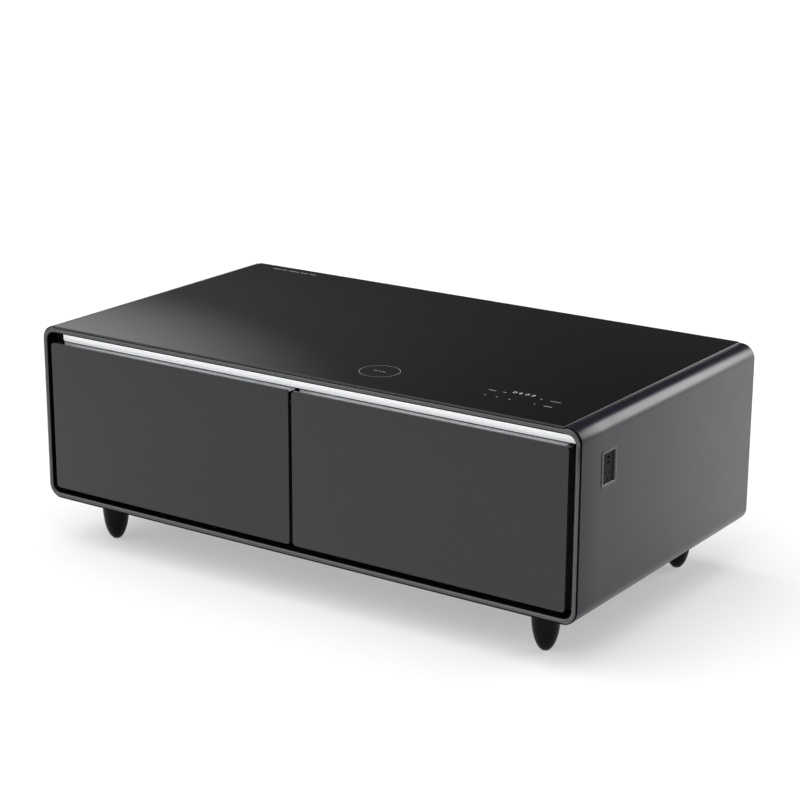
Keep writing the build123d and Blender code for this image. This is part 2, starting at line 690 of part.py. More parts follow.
def outer_members(sides, step):
    """The rail members of these compartments that open towards the drawer box."""
    depths = (RAIL_START, RAIL_REAR)
    walls = [wall for side in sides for wall in rail_walls(side)]
    far = RAIL_WIDTH - RAIL_SHEET / 2
    return group([rail_member(x, inward, step, depths, inward, far) for x, inward in walls])


def cabinet_rails():
    """The four fixed rail members on the compartment walls."""
    return outer_members(SIDES, 0)


def mid_rails(side):
    """The two middle rail members of one drawer, which travel half as far as it does."""
    return outer_members([side], 1)


def drawer_rails(side):
    """The two inner rail members of one drawer, each with a tab that holds the door."""
    height = RAIL_HEIGHT - 2 * 2 * (RAIL_SHEET + RUN)
    tab_depths = (DOOR_DEPTH, DOOR_DEPTH + RAIL_SHEET)
    members = []
    for wall, inward in rail_walls(side):
        member = rail_member(wall, inward, 2, (DOOR_DEPTH, RAIL_REAR), -inward, RAIL_WIDTH)
        web, tab_end = wall + inward * (RAIL_WIDTH - RAIL_SHEET), wall + inward * (RAIL_WIDTH + RAIL_TAB)
        members.append(member + deep_block(sorted((web, tab_end)), tab_depths, around(RAIL_LEVEL, height)))
    return group(members)


# Drawers


def front_panel(side):
    """The flat decorative front of one drawer, with rounded corners."""
    span = side_span(side, FRONT_NEAR, FRONT_FAR)
    panel = rounded_prism(span, (0, FRONT_THICKNESS), (FRONT_LOW, FRONT_HIGH), FRONT_RADIUS)
    return fillet(panel.edges().filter_by_position(Axis.Y, FRONT, FRONT), FRONT_EDGE)


def handle(side):
    """The finger-pull profile behind one drawer front: a deep U with a flange over the door."""
    span = side_span(side, DOOR_NEAR, HANDLE_FAR)
    front_depths = (FRONT_THICKNESS, FRONT_THICKNESS + HANDLE_WALL)
    lip_depths = (POCKET_DEPTH, POCKET_DEPTH + HANDLE_WALL)
    floor_z = (HANDLE_FLOOR, HANDLE_FLOOR + HANDLE_WALL)
    profile = deep_block(span, front_depths, (HANDLE_FLOOR, BODY_TOP - HANDLE_FRONT_DROP))
    profile += deep_block(span, (front_depths[0], lip_depths[1]), floor_z)
    profile += deep_block(span, lip_depths, (HANDLE_FLOOR, HANDLE_LIP))
    return profile + deep_block(span, (POCKET_DEPTH, DOOR_DEPTH), (HANDLE_LIP - HANDLE_WALL, HANDLE_LIP))


def door_body(side):
    """The foamed door behind one drawer front, notched for the handle profile."""
    door_x = side_span(side, DOOR_NEAR, DOOR_FAR)
    door = deep_block(door_x, (FRONT_THICKNESS, DOOR_DEPTH), (DOOR_LOW, HANDLE_LIP))
    notch_x = side_span(side, DOOR_NEAR - CUT, HANDLE_FAR)
    notch_depths = (FRONT_THICKNESS - CUT, POCKET_DEPTH + HANDLE_WALL)
    door -= deep_block(notch_x, notch_depths, (HANDLE_FLOOR, HANDLE_LIP + CUT))
    step_z = (HANDLE_LIP - HANDLE_WALL, HANDLE_LIP + CUT)
    return door - deep_block(notch_x, (POCKET_DEPTH, DOOR_DEPTH + CUT), step_z)


def gasket(side):
    """The magnetic seal round the rear face of one door."""
    depths = (DOOR_DEPTH, DOOR_DEPTH + GASKET_DEPTH)
    forms = []
    for inset, ends in ((0, depths), (GASKET_WIDTH, past(depths))):
        edge = GASKET_INSET + inset
        ring_x = side_span(side, DOOR_NEAR + edge, DOOR_FAR - edge)
        corner = GASKET_RADIUS + GASKET_WIDTH - inset
        forms.append(rounded_prism(ring_x, ends, (DOOR_LOW + edge, HANDLE_LIP - edge), corner))
    return forms[0] - forms[1]


def bin_spans(side, wall):
    """The X, depth and Z spans of one drawer box, this far inside its outer faces."""
    span = side_span(side, COLD_NEAR + RAIL_WIDTH + wall, COLD_FAR - RAIL_WIDTH - wall)
    depths = (DOOR_DEPTH + RAIL_SHEET + RUN + wall, COLD_REAR - BIN_REAR_GAP - wall)
    return span, depths, (COLD_FLOOR + BIN_LIFT + wall, COLD_CEILING - BIN_TOP_GAP)


def drawer_bin(side):
    """The open storage box of one drawer, with a lip along its rim."""
    span, depths, levels = bin_spans(side, 0)
    box = deep_block(span, depths, levels)
    box = fillet(box.edges().filter_by(Axis.Z), BIN_RADIUS)
    lip_x, lip_depths = (span[0] - BIN_LIP, span[1] + BIN_LIP), (depths[0], depths[1] + BIN_LIP)
    lip = deep_block(lip_x, lip_depths, (levels[1] - BIN_WALL, levels[1]))
    box += fillet(lip.edges().filter_by(Axis.Z), BIN_RADIUS)
    inner_x, inner_depths, inner_z = bin_spans(side, BIN_WALL)
    hollow = deep_block(inner_x, inner_depths, (inner_z[0], inner_z[1] + CUT))
    return box - fillet(hollow.edges().filter_by(Axis.Z), BIN_RADIUS - BIN_WALL)


def bin_divider(side):
    """The lift-out plate that parts one drawer box, with a bead along its top."""
    span, depths, levels = bin_spans(side, BIN_WALL)
    middle = sum(span) / 2
    plate_depths = (depths[0] + RUN, depths[1] - RUN)
    top = levels[1] - DIVIDER_TOP_GAP
    plate = deep_block(around(middle, DIVIDER_THICKNESS), plate_depths, (levels[0], top))
    return plate + deep_block(around(middle, DIVIDER_BEAD), plate_depths, (top - DIVIDER_THICKNESS, top))


# Feet


def foot_radius(level):
    """Radius of the bullet-shaped foot at this height above the floor."""
    tip_share = 1 - (FOOT_TIP_RADIUS / FOOT_RADIUS) ** 2
    fall_share = tip_share ** (1 / FOOT_BULGE_POWER) * (FOOT_CROWN - level) / FOOT_CROWN
    return FOOT_RADIUS * (1 - fall_share**FOOT_BULGE_POWER) ** (1 / 2)


def feet():
    """Four turned feet that taper to a rounded tip, each bored for its stud."""
    levels = [FOOT_CROWN * share for share in FOOT_LEVEL_SHARES]
    side = Spline(*[(foot_radius(level), 0, level) for level in levels])
    rest = Polyline((FOOT_RADIUS, 0, FOOT_CROWN), (0, 0, FOOT_CROWN), (0, 0, 0), (FOOT_TIP_RADIUS, 0, 0))
    foot = revolve(make_face([*side.edges(), *rest.edges()]), axis=Axis.Z)
    foot -= post(STUD_RADIUS + SNUG, (FOOT_CROWN - STUD_DEPTH - SNUG, FOOT_CROWN + CUT))
    return group([Pos(x, y, 0) * foot for x, y in FOOT_SPOTS])


def foot_plates():
    """Round steel plates between the feet and the casing."""
    levels = (FOOT_CROWN, BODY_LIFT)
    plate = post(FOOT_RADIUS, levels) - post(STUD_RADIUS + SNUG, past(levels))
    return group([Pos(x, y, 0) * plate for x, y in FOOT_SPOTS])


def foot_bolts():
    """Threaded studs with hexagon nuts that hold the feet to the casing."""
    nut = extrude(RegularPolygon(NUT_WIDTH / 2, NUT_SIDES, major_radius=False), NUT_HEIGHT)
    bolt = post(STUD_RADIUS, (FOOT_CROWN - STUD_DEPTH, INSIDE_BOTTOM + STUD_RISE))
    bolt += Pos(0, 0, INSIDE_BOTTOM) * nut
    return group([Pos(x, y, 0) * bolt for x, y in FOOT_SPOTS])


# Modules under the glass and in the right side


def charging_coil():
    """The flat wound ring that charges a phone through the glass."""
    levels = (GLASS_BOTTOM - COIL_THICKNESS, GLASS_BOTTOM)
    ring = post(COIL_OUTER_RADIUS, levels) - post(COIL_INNER_RADIUS, past(levels))
    return Pos(CHARGER_OFFSET, back(CHARGER_DEPTH), 0) * ring


def charger_board():
    """The round driver board and shield under the charging coil."""
    top = GLASS_BOTTOM - COIL_THICKNESS
    levels = (top - CHARGER_BOARD_THICKNESS, top)
    return post(CHARGER_BOARD_RADIUS, levels, CHARGER_OFFSET, back(CHARGER_DEPTH))


def touch_board():
    """The touch circuit board under the glass, with its digit display below."""
    low = GLASS_BOTTOM - TOUCH_THICKNESS
    board_x, board_depths = around(TOUCH_X, TOUCH_LENGTH), around(TOUCH_DEPTH, TOUCH_WIDTH)
    board = deep_block(board_x, board_depths, (low, GLASS_BOTTOM))
    display_x, display_depths = around(TOUCH_X, DISPLAY_LENGTH), around(TOUCH_DEPTH, DISPLAY_WIDTH)
    return board + deep_block(display_x, display_depths, (low - DISPLAY_HEIGHT, low))


def socket_bezel():
    """The thin frame that covers the edge of the socket's cut-out."""
    bezel = socket_form((HALF_LENGTH, HALF_LENGTH + SOCKET_PROUD), 0)
    bezel += socket_form((SOCKET_FACE_REAR, HALF_LENGTH), SOCKET_OVERLAP)
    return bezel - socket_form(past((SOCKET_FACE_REAR, HALF_LENGTH + SOCKET_PROUD)), SOCKET_RIM)


def socket_insert():
    """The dark face with a three-pin outlet and two charging ports."""
    outer_x = HALF_LENGTH - SOCKET_RECESS
    face = socket_form((SOCKET_FACE_REAR, outer_x), SOCKET_RIM + SNUG)
    through = past((SOCKET_FACE_REAR, outer_x))
    middle = back(SOCKET_MIDDLE_DEPTH)
    outlet = SOCKET_MIDDLE - OUTLET_DROP
    for way in SIDES:
        blade_y = around(middle + way * BLADE_SPACING / 2, BLADE_WIDTH)
        face -= block(through, blade_y, around(outlet, BLADE_HEIGHT))
        port = SOCKET_MIDDLE + USB_RISE + way * USB_SPACING / 2
        port_x = (outer_x - USB_DEPTH, outer_x + CUT)
        face -= block(port_x, around(middle, USB_WIDTH), around(port, USB_HEIGHT))
        tongue_y = around(middle, USB_WIDTH - 2 * USB_TONGUE)
        face += block((SOCKET_FACE_REAR, outer_x - USB_DEPTH / 2), tongue_y, around(port, USB_TONGUE))
    return face - rod_x(EARTH_RADIUS, through, middle, outlet - EARTH_DROP)


def socket_box():
    """The open housing behind the socket face."""
    box = socket_form((SOCKET_BOX_REAR + SNUG, SOCKET_FACE_REAR), SOCKET_OVERLAP)
    hollow_x = (SOCKET_BOX_REAR + SNUG + SOCKET_BOX_WALL, SOCKET_FACE_REAR + CUT)
    return box - socket_form(hollow_x, SOCKET_OVERLAP + SOCKET_BOX_WALL)


# Fans


def fan_frame(size, depth):
    """A square fan housing round a bore, with a motor seat on struts at its rear."""
    frame = Box(size, size, depth, align=(Align.CENTER, Align.CENTER, Align.MIN))
    frame -= post(size / 2 - FAN_WALL, past((0, depth)))
    strut = block((0, size / 2 - FAN_WALL / 2), around(0, FAN_STRUT), (0, FAN_STATOR))
    frame += [Rot(0, 0, FULL_TURN * step / FAN_STRUT_COUNT) * strut for step in range(FAN_STRUT_COUNT)]
    frame += post(size * FAN_HUB_SHARE, (0, FAN_STATOR))
    return frame - post(SHAFT_RADIUS + SHAFT_CLEARANCE, past((0, FAN_STATOR)))


def fan_rotor(size, depth):
    """The bladed rotor that turns in a fan housing, on a shaft through the motor seat."""
    levels = (FAN_STATOR + RUN, depth - RUN)
    reach = size / 2 - FAN_WALL - FAN_TIP_GAP
    rotor = post(size * FAN_HUB_SHARE, levels) + post(SHAFT_RADIUS, (0, levels[0]))
    blade = Box(reach + CUT, size * FAN_CHORD_SHARE, FAN_BLADE, align=(Align.MIN, Align.CENTER, Align.CENTER))
    blade = Pos(0, 0, sum(levels) / 2) * Rot(FAN_BLADE_ANGLE, 0, 0) * blade
    blade &= post(reach, levels)
    return rotor + [Rot(0, 0, FULL_TURN * step / FAN_BLADE_COUNT) * blade for step in range(FAN_BLADE_COUNT)]


def small_fan_place(side):
    """Where one evaporator fan sits: behind its cover, blowing to the front."""
    depth = COVER_DEPTH + COVER_THICKNESS + SMALL_FAN_DEPTH
    return Pos(side * SMALL_FAN_X, back(depth), COLD_FLOOR + SMALL_FAN_LIFT) * Rot(QUARTER_TURN, 0, 0)


def large_fan_place():
    """Where the condenser fan sits: beside the condenser, blowing towards the compressor."""
    x = CONDENSER_OFFSET - CONDENSER_THICKNESS / 2 - RUN
    return Pos(x, back(MACHINE_CENTRE), INSIDE_BOTTOM + FAN_STAND + LARGE_FAN / 2) * Rot(0, -QUARTER_TURN, 0)


def evaporator_fan_frames():
    """The housings of both evaporator fans."""
    return group([small_fan_place(side) * fan_frame(SMALL_FAN, SMALL_FAN_DEPTH) for side in SIDES])


def evaporator_fan_rotor(side):
    """The rotor of one evaporator fan."""
    return small_fan_place(side) * fan_rotor(SMALL_FAN, SMALL_FAN_DEPTH)


def condenser_fan_frame():
    """The housing of the condenser fan with the plate that it stands on."""
    x_high = CONDENSER_OFFSET - CONDENSER_THICKNESS / 2 - RUN
    stand_z = (INSIDE_BOTTOM, INSIDE_BOTTOM + FAN_STAND)
    stand = deep_block((x_high - 2 * LARGE_FAN_DEPTH, x_high), around(MACHINE_CENTRE, LARGE_FAN), stand_z)
    return large_fan_place() * fan_frame(LARGE_FAN, LARGE_FAN_DEPTH) + stand


def condenser_fan_rotor():
    """The rotor of the condenser fan."""
    return large_fan_place() * fan_rotor(LARGE_FAN, LARGE_FAN_DEPTH)


# Refrigeration


def finned_coil(length, thickness, rows, pitch, fin_count):
    """A serpentine tube along X through upright fins, its lowest row at the origin."""
    half, bend = length / 2, pitch / 2
    reach = half - bend - TUBE_RADIUS
    path = [Line((-half, 0, 0), (reach, 0, 0))]
    for row in range(1, rows):
        way = 1 if row % 2 else -1
        low, high = pitch * (row - 1), pitch * row
        turn_x = way * reach
        path.append(ThreePointArc((turn_x, 0, low), (turn_x + way * bend, 0, low + bend), (turn_x, 0, high)))
        path.append(Line((turn_x, 0, high), (-way * (half if row == rows - 1 else reach), 0, high)))
    wire = Wire(path)
    coil = sweep(Plane(wire @ 0, z_dir=wire % 0) * Circle(TUBE_RADIUS), path=wire)
    fin_reach = reach - TUBE_RADIUS
    fin_z = (-bend, pitch * (rows - 1) + bend)
    fin = block(around(0, FIN_THICKNESS), around(0, thickness), fin_z)
    return coil + [Pos(fin_reach * (2 * step / (fin_count - 1) - 1), 0, 0) * fin for step in range(fin_count)]


def evaporators():
    """The finned coil at the rear of each cold compartment."""
    rows = (EVAPORATOR_ROWS, EVAPORATOR_PITCH)
    coil = finned_coil(EVAPORATOR_LENGTH, EVAPORATOR_DEPTH, *rows, EVAPORATOR_FIN_COUNT)
    coil = Pos(0, back(EVAPORATOR_CENTRE), EVAPORATOR_LOW) * coil
    return group([Pos(side * EVAPORATOR_X, 0, 0) * coil for side in SIDES])


def evaporator_covers():
    """The panel in front of each evaporator, with a barred fan mouth and return slots."""
    depths = (COVER_DEPTH, COVER_DEPTH + COVER_THICKNESS)
    slot_length = EVAPORATOR_LENGTH - 2 * RETURN_INSET
    covers = []
    for side in SIDES:
        span = side_span(side, COLD_NEAR + SNUG, COLD_FAR - SNUG)
        cover = deep_block(span, depths, (COLD_FLOOR + SNUG, COLD_CEILING - SNUG))
        fan_x, fan_z = side * SMALL_FAN_X, COLD_FLOOR + SMALL_FAN_LIFT
        mouth = rod_y(SMALL_FAN / 2 - FAN_WALL, fan_x, past(depths), fan_z)
        bars = int(SMALL_FAN / GRILLE_PITCH)
        for bar in range(1, bars):
            bar_z = around(fan_z + (bar - bars / 2) * GRILLE_PITCH, GRILLE_BAR)
            mouth -= deep_block(around(fan_x, SMALL_FAN), past(past(depths)), bar_z)
        cover -= mouth
        for step in range(RETURN_COUNT):
            slot_z = around(COLD_FLOOR + RETURN_PITCH * (step + 1), RETURN_WIDTH)
            cover -= deep_block(around(side * EVAPORATOR_X, slot_length), past(depths), slot_z)
        covers.append(cover)
    return group(covers)


def compressor_feet():
    """The four spots where the compressor stands, as X and Y pairs."""
    all_x = around(COMPRESSOR_X, BRACKET_LENGTH - 2 * GROMMET_MARGIN)
    all_y = around(back(MACHINE_CENTRE), BRACKET_WIDTH - 2 * GROMMET_MARGIN)
    return [(x, y) for x in all_x for y in all_y]


def compressor():
    """The welded compressor shell with its foot bracket and two pipe stubs."""
    y = back(MACHINE_CENTRE)
    drum = post(COMPRESSOR_RADIUS, (COMPRESSOR_LOW, COMPRESSOR_HIGH), COMPRESSOR_X, y)
    drum = fillet(drum.edges().filter_by(GeomType.CIRCLE), COMPRESSOR_DOME)
    bracket_z = (COMPRESSOR_LOW, COMPRESSOR_LOW + BRACKET_SHEET)
    drum += block(around(COMPRESSOR_X, BRACKET_LENGTH), around(y, BRACKET_WIDTH), bracket_z)
    drum -= [post(BOLT_RADIUS + SNUG, past(bracket_z), x, foot_y) for x, foot_y in compressor_feet()]
    for way, rise in ((LEFT, SUCTION_RISE), (RIGHT, DISCHARGE_RISE)):
        stub_y = y + way * STUB_SPREAD
        drum += rod_x(PIPE_RADIUS + STUB_WALL, (COMPRESSOR_X, STUB_END), stub_y, COMPRESSOR_LOW + rise)
    return drum


def compressor_grommets():
    """Rubber feet between the compressor and the floor, each bored for its bolt."""
    levels = (INSIDE_BOTTOM, COMPRESSOR_LOW)
    grommet = post(GROMMET_RADIUS, levels) - post(BOLT_RADIUS + SNUG, past(levels))
    return group([Pos(x, y, 0) * grommet for x, y in compressor_feet()])


def compressor_bolts():
    """Headed bolts through the bracket and the rubber feet into the floor."""
    top = COMPRESSOR_LOW + BRACKET_SHEET
    bolt = post(BOLT_RADIUS, (INSIDE_BOTTOM, top)) + post(BOLT_HEAD_RADIUS, (top, top + BOLT_HEAD_HEIGHT))
    return group([Pos(x, y, 0) * bolt for x, y in compressor_feet()])


def relay_box():
    """The starting relay's cover on the outer side of the compressor."""
    y = back(MACHINE_CENTRE)
    middle = (COMPRESSOR_LOW + COMPRESSOR_HIGH) / 2
    right = COMPRESSOR_X - COMPRESSOR_RADIUS + RELAY_LENGTH / 2
    box = block((right - RELAY_LENGTH, right), around(y, RELAY_WIDTH), around(middle, RELAY_HEIGHT))
    return box - post(COMPRESSOR_RADIUS + SNUG, (COMPRESSOR_LOW, COMPRESSOR_HIGH), COMPRESSOR_X, y)


def drip_tray():
    """The open tray on the compressor that dries up the melt water."""
    levels = (COMPRESSOR_HIGH, COMPRESSOR_HIGH + TRAY_HEIGHT)
    y = back(MACHINE_CENTRE)
    tray = block(around(COMPRESSOR_X, TRAY_LENGTH), around(y, TRAY_WIDTH), levels)
    inner_x = around(COMPRESSOR_X, TRAY_LENGTH - 2 * TRAY_WALL)
    inner_y = around(y, TRAY_WIDTH - 2 * TRAY_WALL)
    return tray - block(inner_x, inner_y, (levels[0] + TRAY_WALL, levels[1] + CUT))


def condenser():
    """The finned coil that gives off the heat, on two folded feet."""
    rows = (CONDENSER_ROWS, CONDENSER_PITCH)
    coil = finned_coil(CONDENSER_LENGTH, CONDENSER_THICKNESS, *rows, CONDENSER_FIN_COUNT)
    coil = Pos(CONDENSER_OFFSET, back(MACHINE_CENTRE), CONDENSER_LOW) * Rot(0, 0, QUARTER_TURN) * coil
    reach = CONDENSER_LENGTH / 2 - CONDENSER_PITCH / 2 - 2 * TUBE_RADIUS
    for way in SIDES:
        foot_depths = around(MACHINE_CENTRE + way * reach, SHEET)
        foot_x = around(CONDENSER_OFFSET, CONDENSER_THICKNESS)
        coil += deep_block(foot_x, foot_depths, (INSIDE_BOTTOM, CONDENSER_LOW))
    return coil


def suction_pipe():
    """The return pipe from both evaporators to the compressor, joined by a tee."""
    right_end, left_end = (side * EVAPORATOR_X - EVAPORATOR_REACH for side in (RIGHT, LEFT))
    down = COMPRESSOR_X + DOWN_OFFSET
    stub_depth, stub_level = MACHINE_CENTRE - STUB_SPREAD, COMPRESSOR_LOW + SUCTION_RISE
    main = [
        (right_end, EVAPORATOR_CENTRE, EVAPORATOR_HIGH),
        (right_end - PIPE_EXIT, EVAPORATOR_CENTRE, EVAPORATOR_HIGH),
        (right_end - PIPE_EXIT, FRONT_LANE, EVAPORATOR_HIGH),
        (down, FRONT_LANE, EVAPORATOR_HIGH),
        (down, FRONT_LANE, stub_level),
        (down, stub_depth, stub_level),
        (STUB_END, stub_depth, stub_level),
    ]
    branch = [
        (left_end, EVAPORATOR_CENTRE, EVAPORATOR_HIGH),
        (left_end - PIPE_EXIT, EVAPORATOR_CENTRE, EVAPORATOR_HIGH),
        (left_end - PIPE_EXIT, FRONT_LANE, EVAPORATOR_HIGH),
        (left_end - PIPE_EXIT, FRONT_LANE, EVAPORATOR_HIGH - TEE_DROP),
        (down, FRONT_LANE, EVAPORATOR_HIGH - TEE_DROP),
    ]
    bends = (EXIT_BEND, EXIT_BEND, PIPE_BEND, PIPE_BEND, PIPE_BEND)
    return pipe(main, PIPE_RADIUS, bends) + pipe(branch, BRANCH_RADIUS, bends[:3])


def discharge_pipe():
    """The hot pipe from the compressor to the top of the condenser."""
    out_x = COMPRESSOR_X + DOWN_OFFSET
    stub_depth, stub_level = MACHINE_CENTRE + STUB_SPREAD, COMPRESSOR_LOW + DISCHARGE_RISE
    points = [
        (STUB_END, stub_depth, stub_level),
        (out_x, stub_depth, stub_level),
        (out_x, REAR_LANE, stub_level),
        (out_x, REAR_LANE, CONDENSER_HIGH),
        (CONDENSER_OFFSET, REAR_LANE, CONDENSER_HIGH),
        (CONDENSER_OFFSET, MACHINE_CENTRE + CONDENSER_LENGTH / 2, CONDENSER_HIGH),
    ]
    return pipe(points, PIPE_RADIUS, (PIPE_BEND, PIPE_BEND, PIPE_BEND, EXIT_BEND))


def capillary_tube():
    """The thin pipe that feeds both evaporators from the foot of the condenser."""
    right_end, left_end = (side * EVAPORATOR_X - EVAPORATOR_REACH for side in (RIGHT, LEFT))
    main = [
        (CONDENSER_OFFSET, MACHINE_CENTRE - CONDENSER_LENGTH / 2, CONDENSER_LOW),
        (CONDENSER_OFFSET, FRONT_LANE, CONDENSER_LOW),
        (CONDENSER_OFFSET, FRONT_LANE, EVAPORATOR_LOW),
        (left_end - PIPE_EXIT, FRONT_LANE, EVAPORATOR_LOW),
        (left_end - PIPE_EXIT, EVAPORATOR_CENTRE, EVAPORATOR_LOW),
        (left_end, EVAPORATOR_CENTRE, EVAPORATOR_LOW),
    ]
    branch = [
        (right_end - PIPE_EXIT, FRONT_LANE, EVAPORATOR_LOW),
        (right_end - PIPE_EXIT, EVAPORATOR_CENTRE, EVAPORATOR_LOW),
        (right_end, EVAPORATOR_CENTRE, EVAPORATOR_LOW),
    ]
    tube = pipe(main, CAPILLARY_RADIUS, (EXIT_BEND, PIPE_BEND, EXIT_BEND, EXIT_BEND))
    return tube + pipe(branch, CAPILLARY_BRANCH_RADIUS, (EXIT_BEND,))


def control_box():
    """The housing of the control board on the bulkhead, open towards the rear panel."""
    span, levels = around(CONTROL_X, CONTROL_LENGTH), (CONTROL_LOW, CONTROL_HIGH)
    box = deep_block(span, (MACHINE_FRONT, MACHINE_FRONT + CONTROL_DEPTH), levels)
    inner_x = (span[0] + CONTROL_WALL, span[1] - CONTROL_WALL)
    inner_depths = (MACHINE_FRONT + CONTROL_WALL, MACHINE_FRONT + CONTROL_DEPTH + CUT)
    return box - deep_block(inner_x, inner_depths, (levels[0] + CONTROL_WALL, levels[1] - CONTROL_WALL))


def control_board():
    """The main circuit board on four posts, with a transformer and two capacitors."""
    middle = (CONTROL_LOW + CONTROL_HIGH) / 2
    seat = MACHINE_FRONT + CONTROL_WALL
    plate_depth = seat + BOARD_POST_HEIGHT
    face = plate_depth + BOARD_THICKNESS
    length, height = CONTROL_LENGTH - 2 * BOARD_INSET, CONTROL_HEIGHT - 2 * BOARD_INSET
    board = deep_block(around(CONTROL_X, length), (plate_depth, face), around(middle, height))
    for sx in SIDES:
        for sz in SIDES:
            x, z = CONTROL_X + sx * (length / 2 - BOARD_INSET), middle + sz * (height / 2 - BOARD_INSET)
            board += rod_y(BOARD_POST_RADIUS, x, (seat, plate_depth), z)
        x = CONTROL_X + sx * TRANSFORMER_SIZE
        board += rod_y(CAPACITOR_RADIUS, x, (face, face + 2 * CAPACITOR_RADIUS), middle - TRANSFORMER_SIZE)
    block_z = around(middle + TRANSFORMER_SIZE / 2, TRANSFORMER_SIZE)
    return board + deep_block(around(CONTROL_X, TRANSFORMER_SIZE), (face, face + TRANSFORMER_SIZE), block_z)


def compressor_cable():
    """The cable from the relay box along the bulkhead to the control box."""
    relay_x = COMPRESSOR_X - COMPRESSOR_RADIUS - RELAY_LENGTH / 2
    relay_z = (COMPRESSOR_LOW + COMPRESSOR_HIGH) / 2
    lane, level = MACHINE_FRONT + CABLE_RADIUS + RUN, CONTROL_HIGH + CABLE_RISE
    points = [
        (relay_x, MACHINE_CENTRE, relay_z),
        (relay_x - CABLE_EXIT, MACHINE_CENTRE, relay_z),
        (relay_x - CABLE_EXIT, lane, level),
        (CONTROL_X, lane, level),
        (CONTROL_X, lane, CONTROL_HIGH),
    ]
    return pipe(points, CABLE_RADIUS, (CABLE_BEND, CABLE_BEND, CABLE_BEND))


fixed_parts = [
    outer_shell,
    front_frame,
    glass_top,
    glass_bedding,
    rear_panel,
    rear_panel_screws,
    cord_gland,
    throat_trims,
    light_channel,
    light_diffuser,
    led_strip,
    insulation_boards,
    bulkhead,
    compartment_liners,
    seal_frame,
    cabinet_rails,
    feet,
    foot_plates,
    foot_bolts,
    charging_coil,
    charger_board,
    touch_board,
    socket_bezel,
    socket_insert,
    socket_box,
    evaporators,
    evaporator_covers,
    evaporator_fan_frames,
    compressor,
    compressor_grommets,
    compressor_bolts,
    relay_box,
    drip_tray,
    condenser,
    condenser_fan_frame,
    condenser_fan_rotor,
    suction_pipe,
    discharge_pipe,
    capillary_tube,
    control_box,
    control_board,
    compressor_cable,
]
sided_parts = {
    "front_panel": front_panel,
    "handle": handle,
    "door_body": door_body,
    "gasket": gasket,
    "bin": drawer_bin,
    "bin_divider": bin_divider,
    "drawer_rails": drawer_rails,
    "mid_rails": mid_rails,
    "evaporator_fan_rotor": evaporator_fan_rotor,
}

os.makedirs("parts", exist_ok=True)
for make in fixed_parts:
    export_step(make(), f"parts/{make.__name__}.step")
for side, word in ((LEFT, "left"), (RIGHT, "right")):
    for name, make in sided_parts.items():
        export_step(make(side), f"parts/{word}_{name}.step")
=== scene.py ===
"""Looks of a refrigerator coffee table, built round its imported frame."""

import json
import logging
import math
from dataclasses import dataclass, field
from enum import Enum
from typing import Any, Iterable, Sequence

import bmesh
import bpy
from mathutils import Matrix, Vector


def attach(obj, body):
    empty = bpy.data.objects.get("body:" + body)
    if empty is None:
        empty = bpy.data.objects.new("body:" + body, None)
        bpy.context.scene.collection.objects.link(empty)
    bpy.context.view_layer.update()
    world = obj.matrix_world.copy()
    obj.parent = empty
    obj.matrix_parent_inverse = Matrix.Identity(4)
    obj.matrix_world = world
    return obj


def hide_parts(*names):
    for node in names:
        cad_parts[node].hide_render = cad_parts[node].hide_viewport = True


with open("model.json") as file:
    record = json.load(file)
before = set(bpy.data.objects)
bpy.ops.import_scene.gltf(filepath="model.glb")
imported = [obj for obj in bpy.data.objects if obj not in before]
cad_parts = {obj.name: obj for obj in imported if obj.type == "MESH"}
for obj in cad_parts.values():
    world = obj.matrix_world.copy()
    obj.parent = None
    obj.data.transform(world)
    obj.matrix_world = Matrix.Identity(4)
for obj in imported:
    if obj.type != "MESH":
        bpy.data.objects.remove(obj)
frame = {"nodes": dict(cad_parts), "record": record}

LOG = logging.getLogger("table")
MM = 0.001
MERGED = 0.002 * MM
SHARP = 35.0
WHITE = (1.0, 1.0, 1.0, 1.0)
SEVEN_BARS = ("abcdef", "bc", "abged", "abgcd", "fgbc", "afgcd", "afgedc", "abc", "abcdefg", "abcdfg")
Color = tuple[float, float, float]
Flat = tuple[float, float]
Point = tuple[float, float, float]
Span = tuple[float, float]
Block = tuple[Span, Span, Span]
Socket = bpy.types.NodeSocket
Piece = bpy.types.Object


class Side(Enum):
    """The two drawers, by the sign of their place along the length."""

    LEFT = -1
    RIGHT = 1

    @property
    def word(self) -> str:
        """The side's name as the frame's bodies and nodes spell it."""
        return self.name.lower()


class Grain(Enum):
    """How a surface is broken up, seen from near by."""

    PEEL = "peel"
    BRUSHED = "brushed"
    MOULDED = "moulded"
    CELLS = "cells"
    CAST = "cast"
    TRACES = "traces"


# Outlines and meshes


def arc(centre: Flat, radius: float, start: float, end: float, steps: int) -> list[Flat]:
    """Points of a circular arc between two angles in degrees, both ends included."""
    turns = [math.radians(start + (end - start) * step / steps) for step in range(steps + 1)]
    return [(centre[0] + radius * math.cos(turn), centre[1] + radius * math.sin(turn)) for turn in turns]


def circle(centre: Flat, radius: float, steps: int) -> list[Flat]:
    """Points of a closed circle."""
    return arc(centre, radius, 0, 360, steps)[:-1]


def rounded(across: Span, up: Span, radius: float, steps: int = 8, inset: float = 0.0) -> list[Flat]:
    """A rectangle with round corners, counterclockwise from the top of its right side.

    Args:
        across: Low and high value of the first coordinate.
        up: Low and high value of the second coordinate.
        radius: Corner radius.
        steps: Chords of each corner.
        inset: How far inside both spans it runs.

    Returns:
        The outline's points.
    """
    far, near = across[1] - inset - radius, across[0] + inset + radius
    high, low = up[1] - inset - radius, up[0] + inset + radius
    points = []
    for turn, corner in enumerate(((far, high), (near, high), (near, low), (far, low))):
        points += arc(corner, radius, 90 * turn, 90 * turn + 90, steps)
    return points


def laid(line: Iterable[Flat], axis: str, along: float) -> list[Point]:
    """The points of a flat outline at a place along an axis."""
    return [{"x": (along, a, b), "y": (a, along, b), "z": (a, b, along)}[axis] for a, b in line]


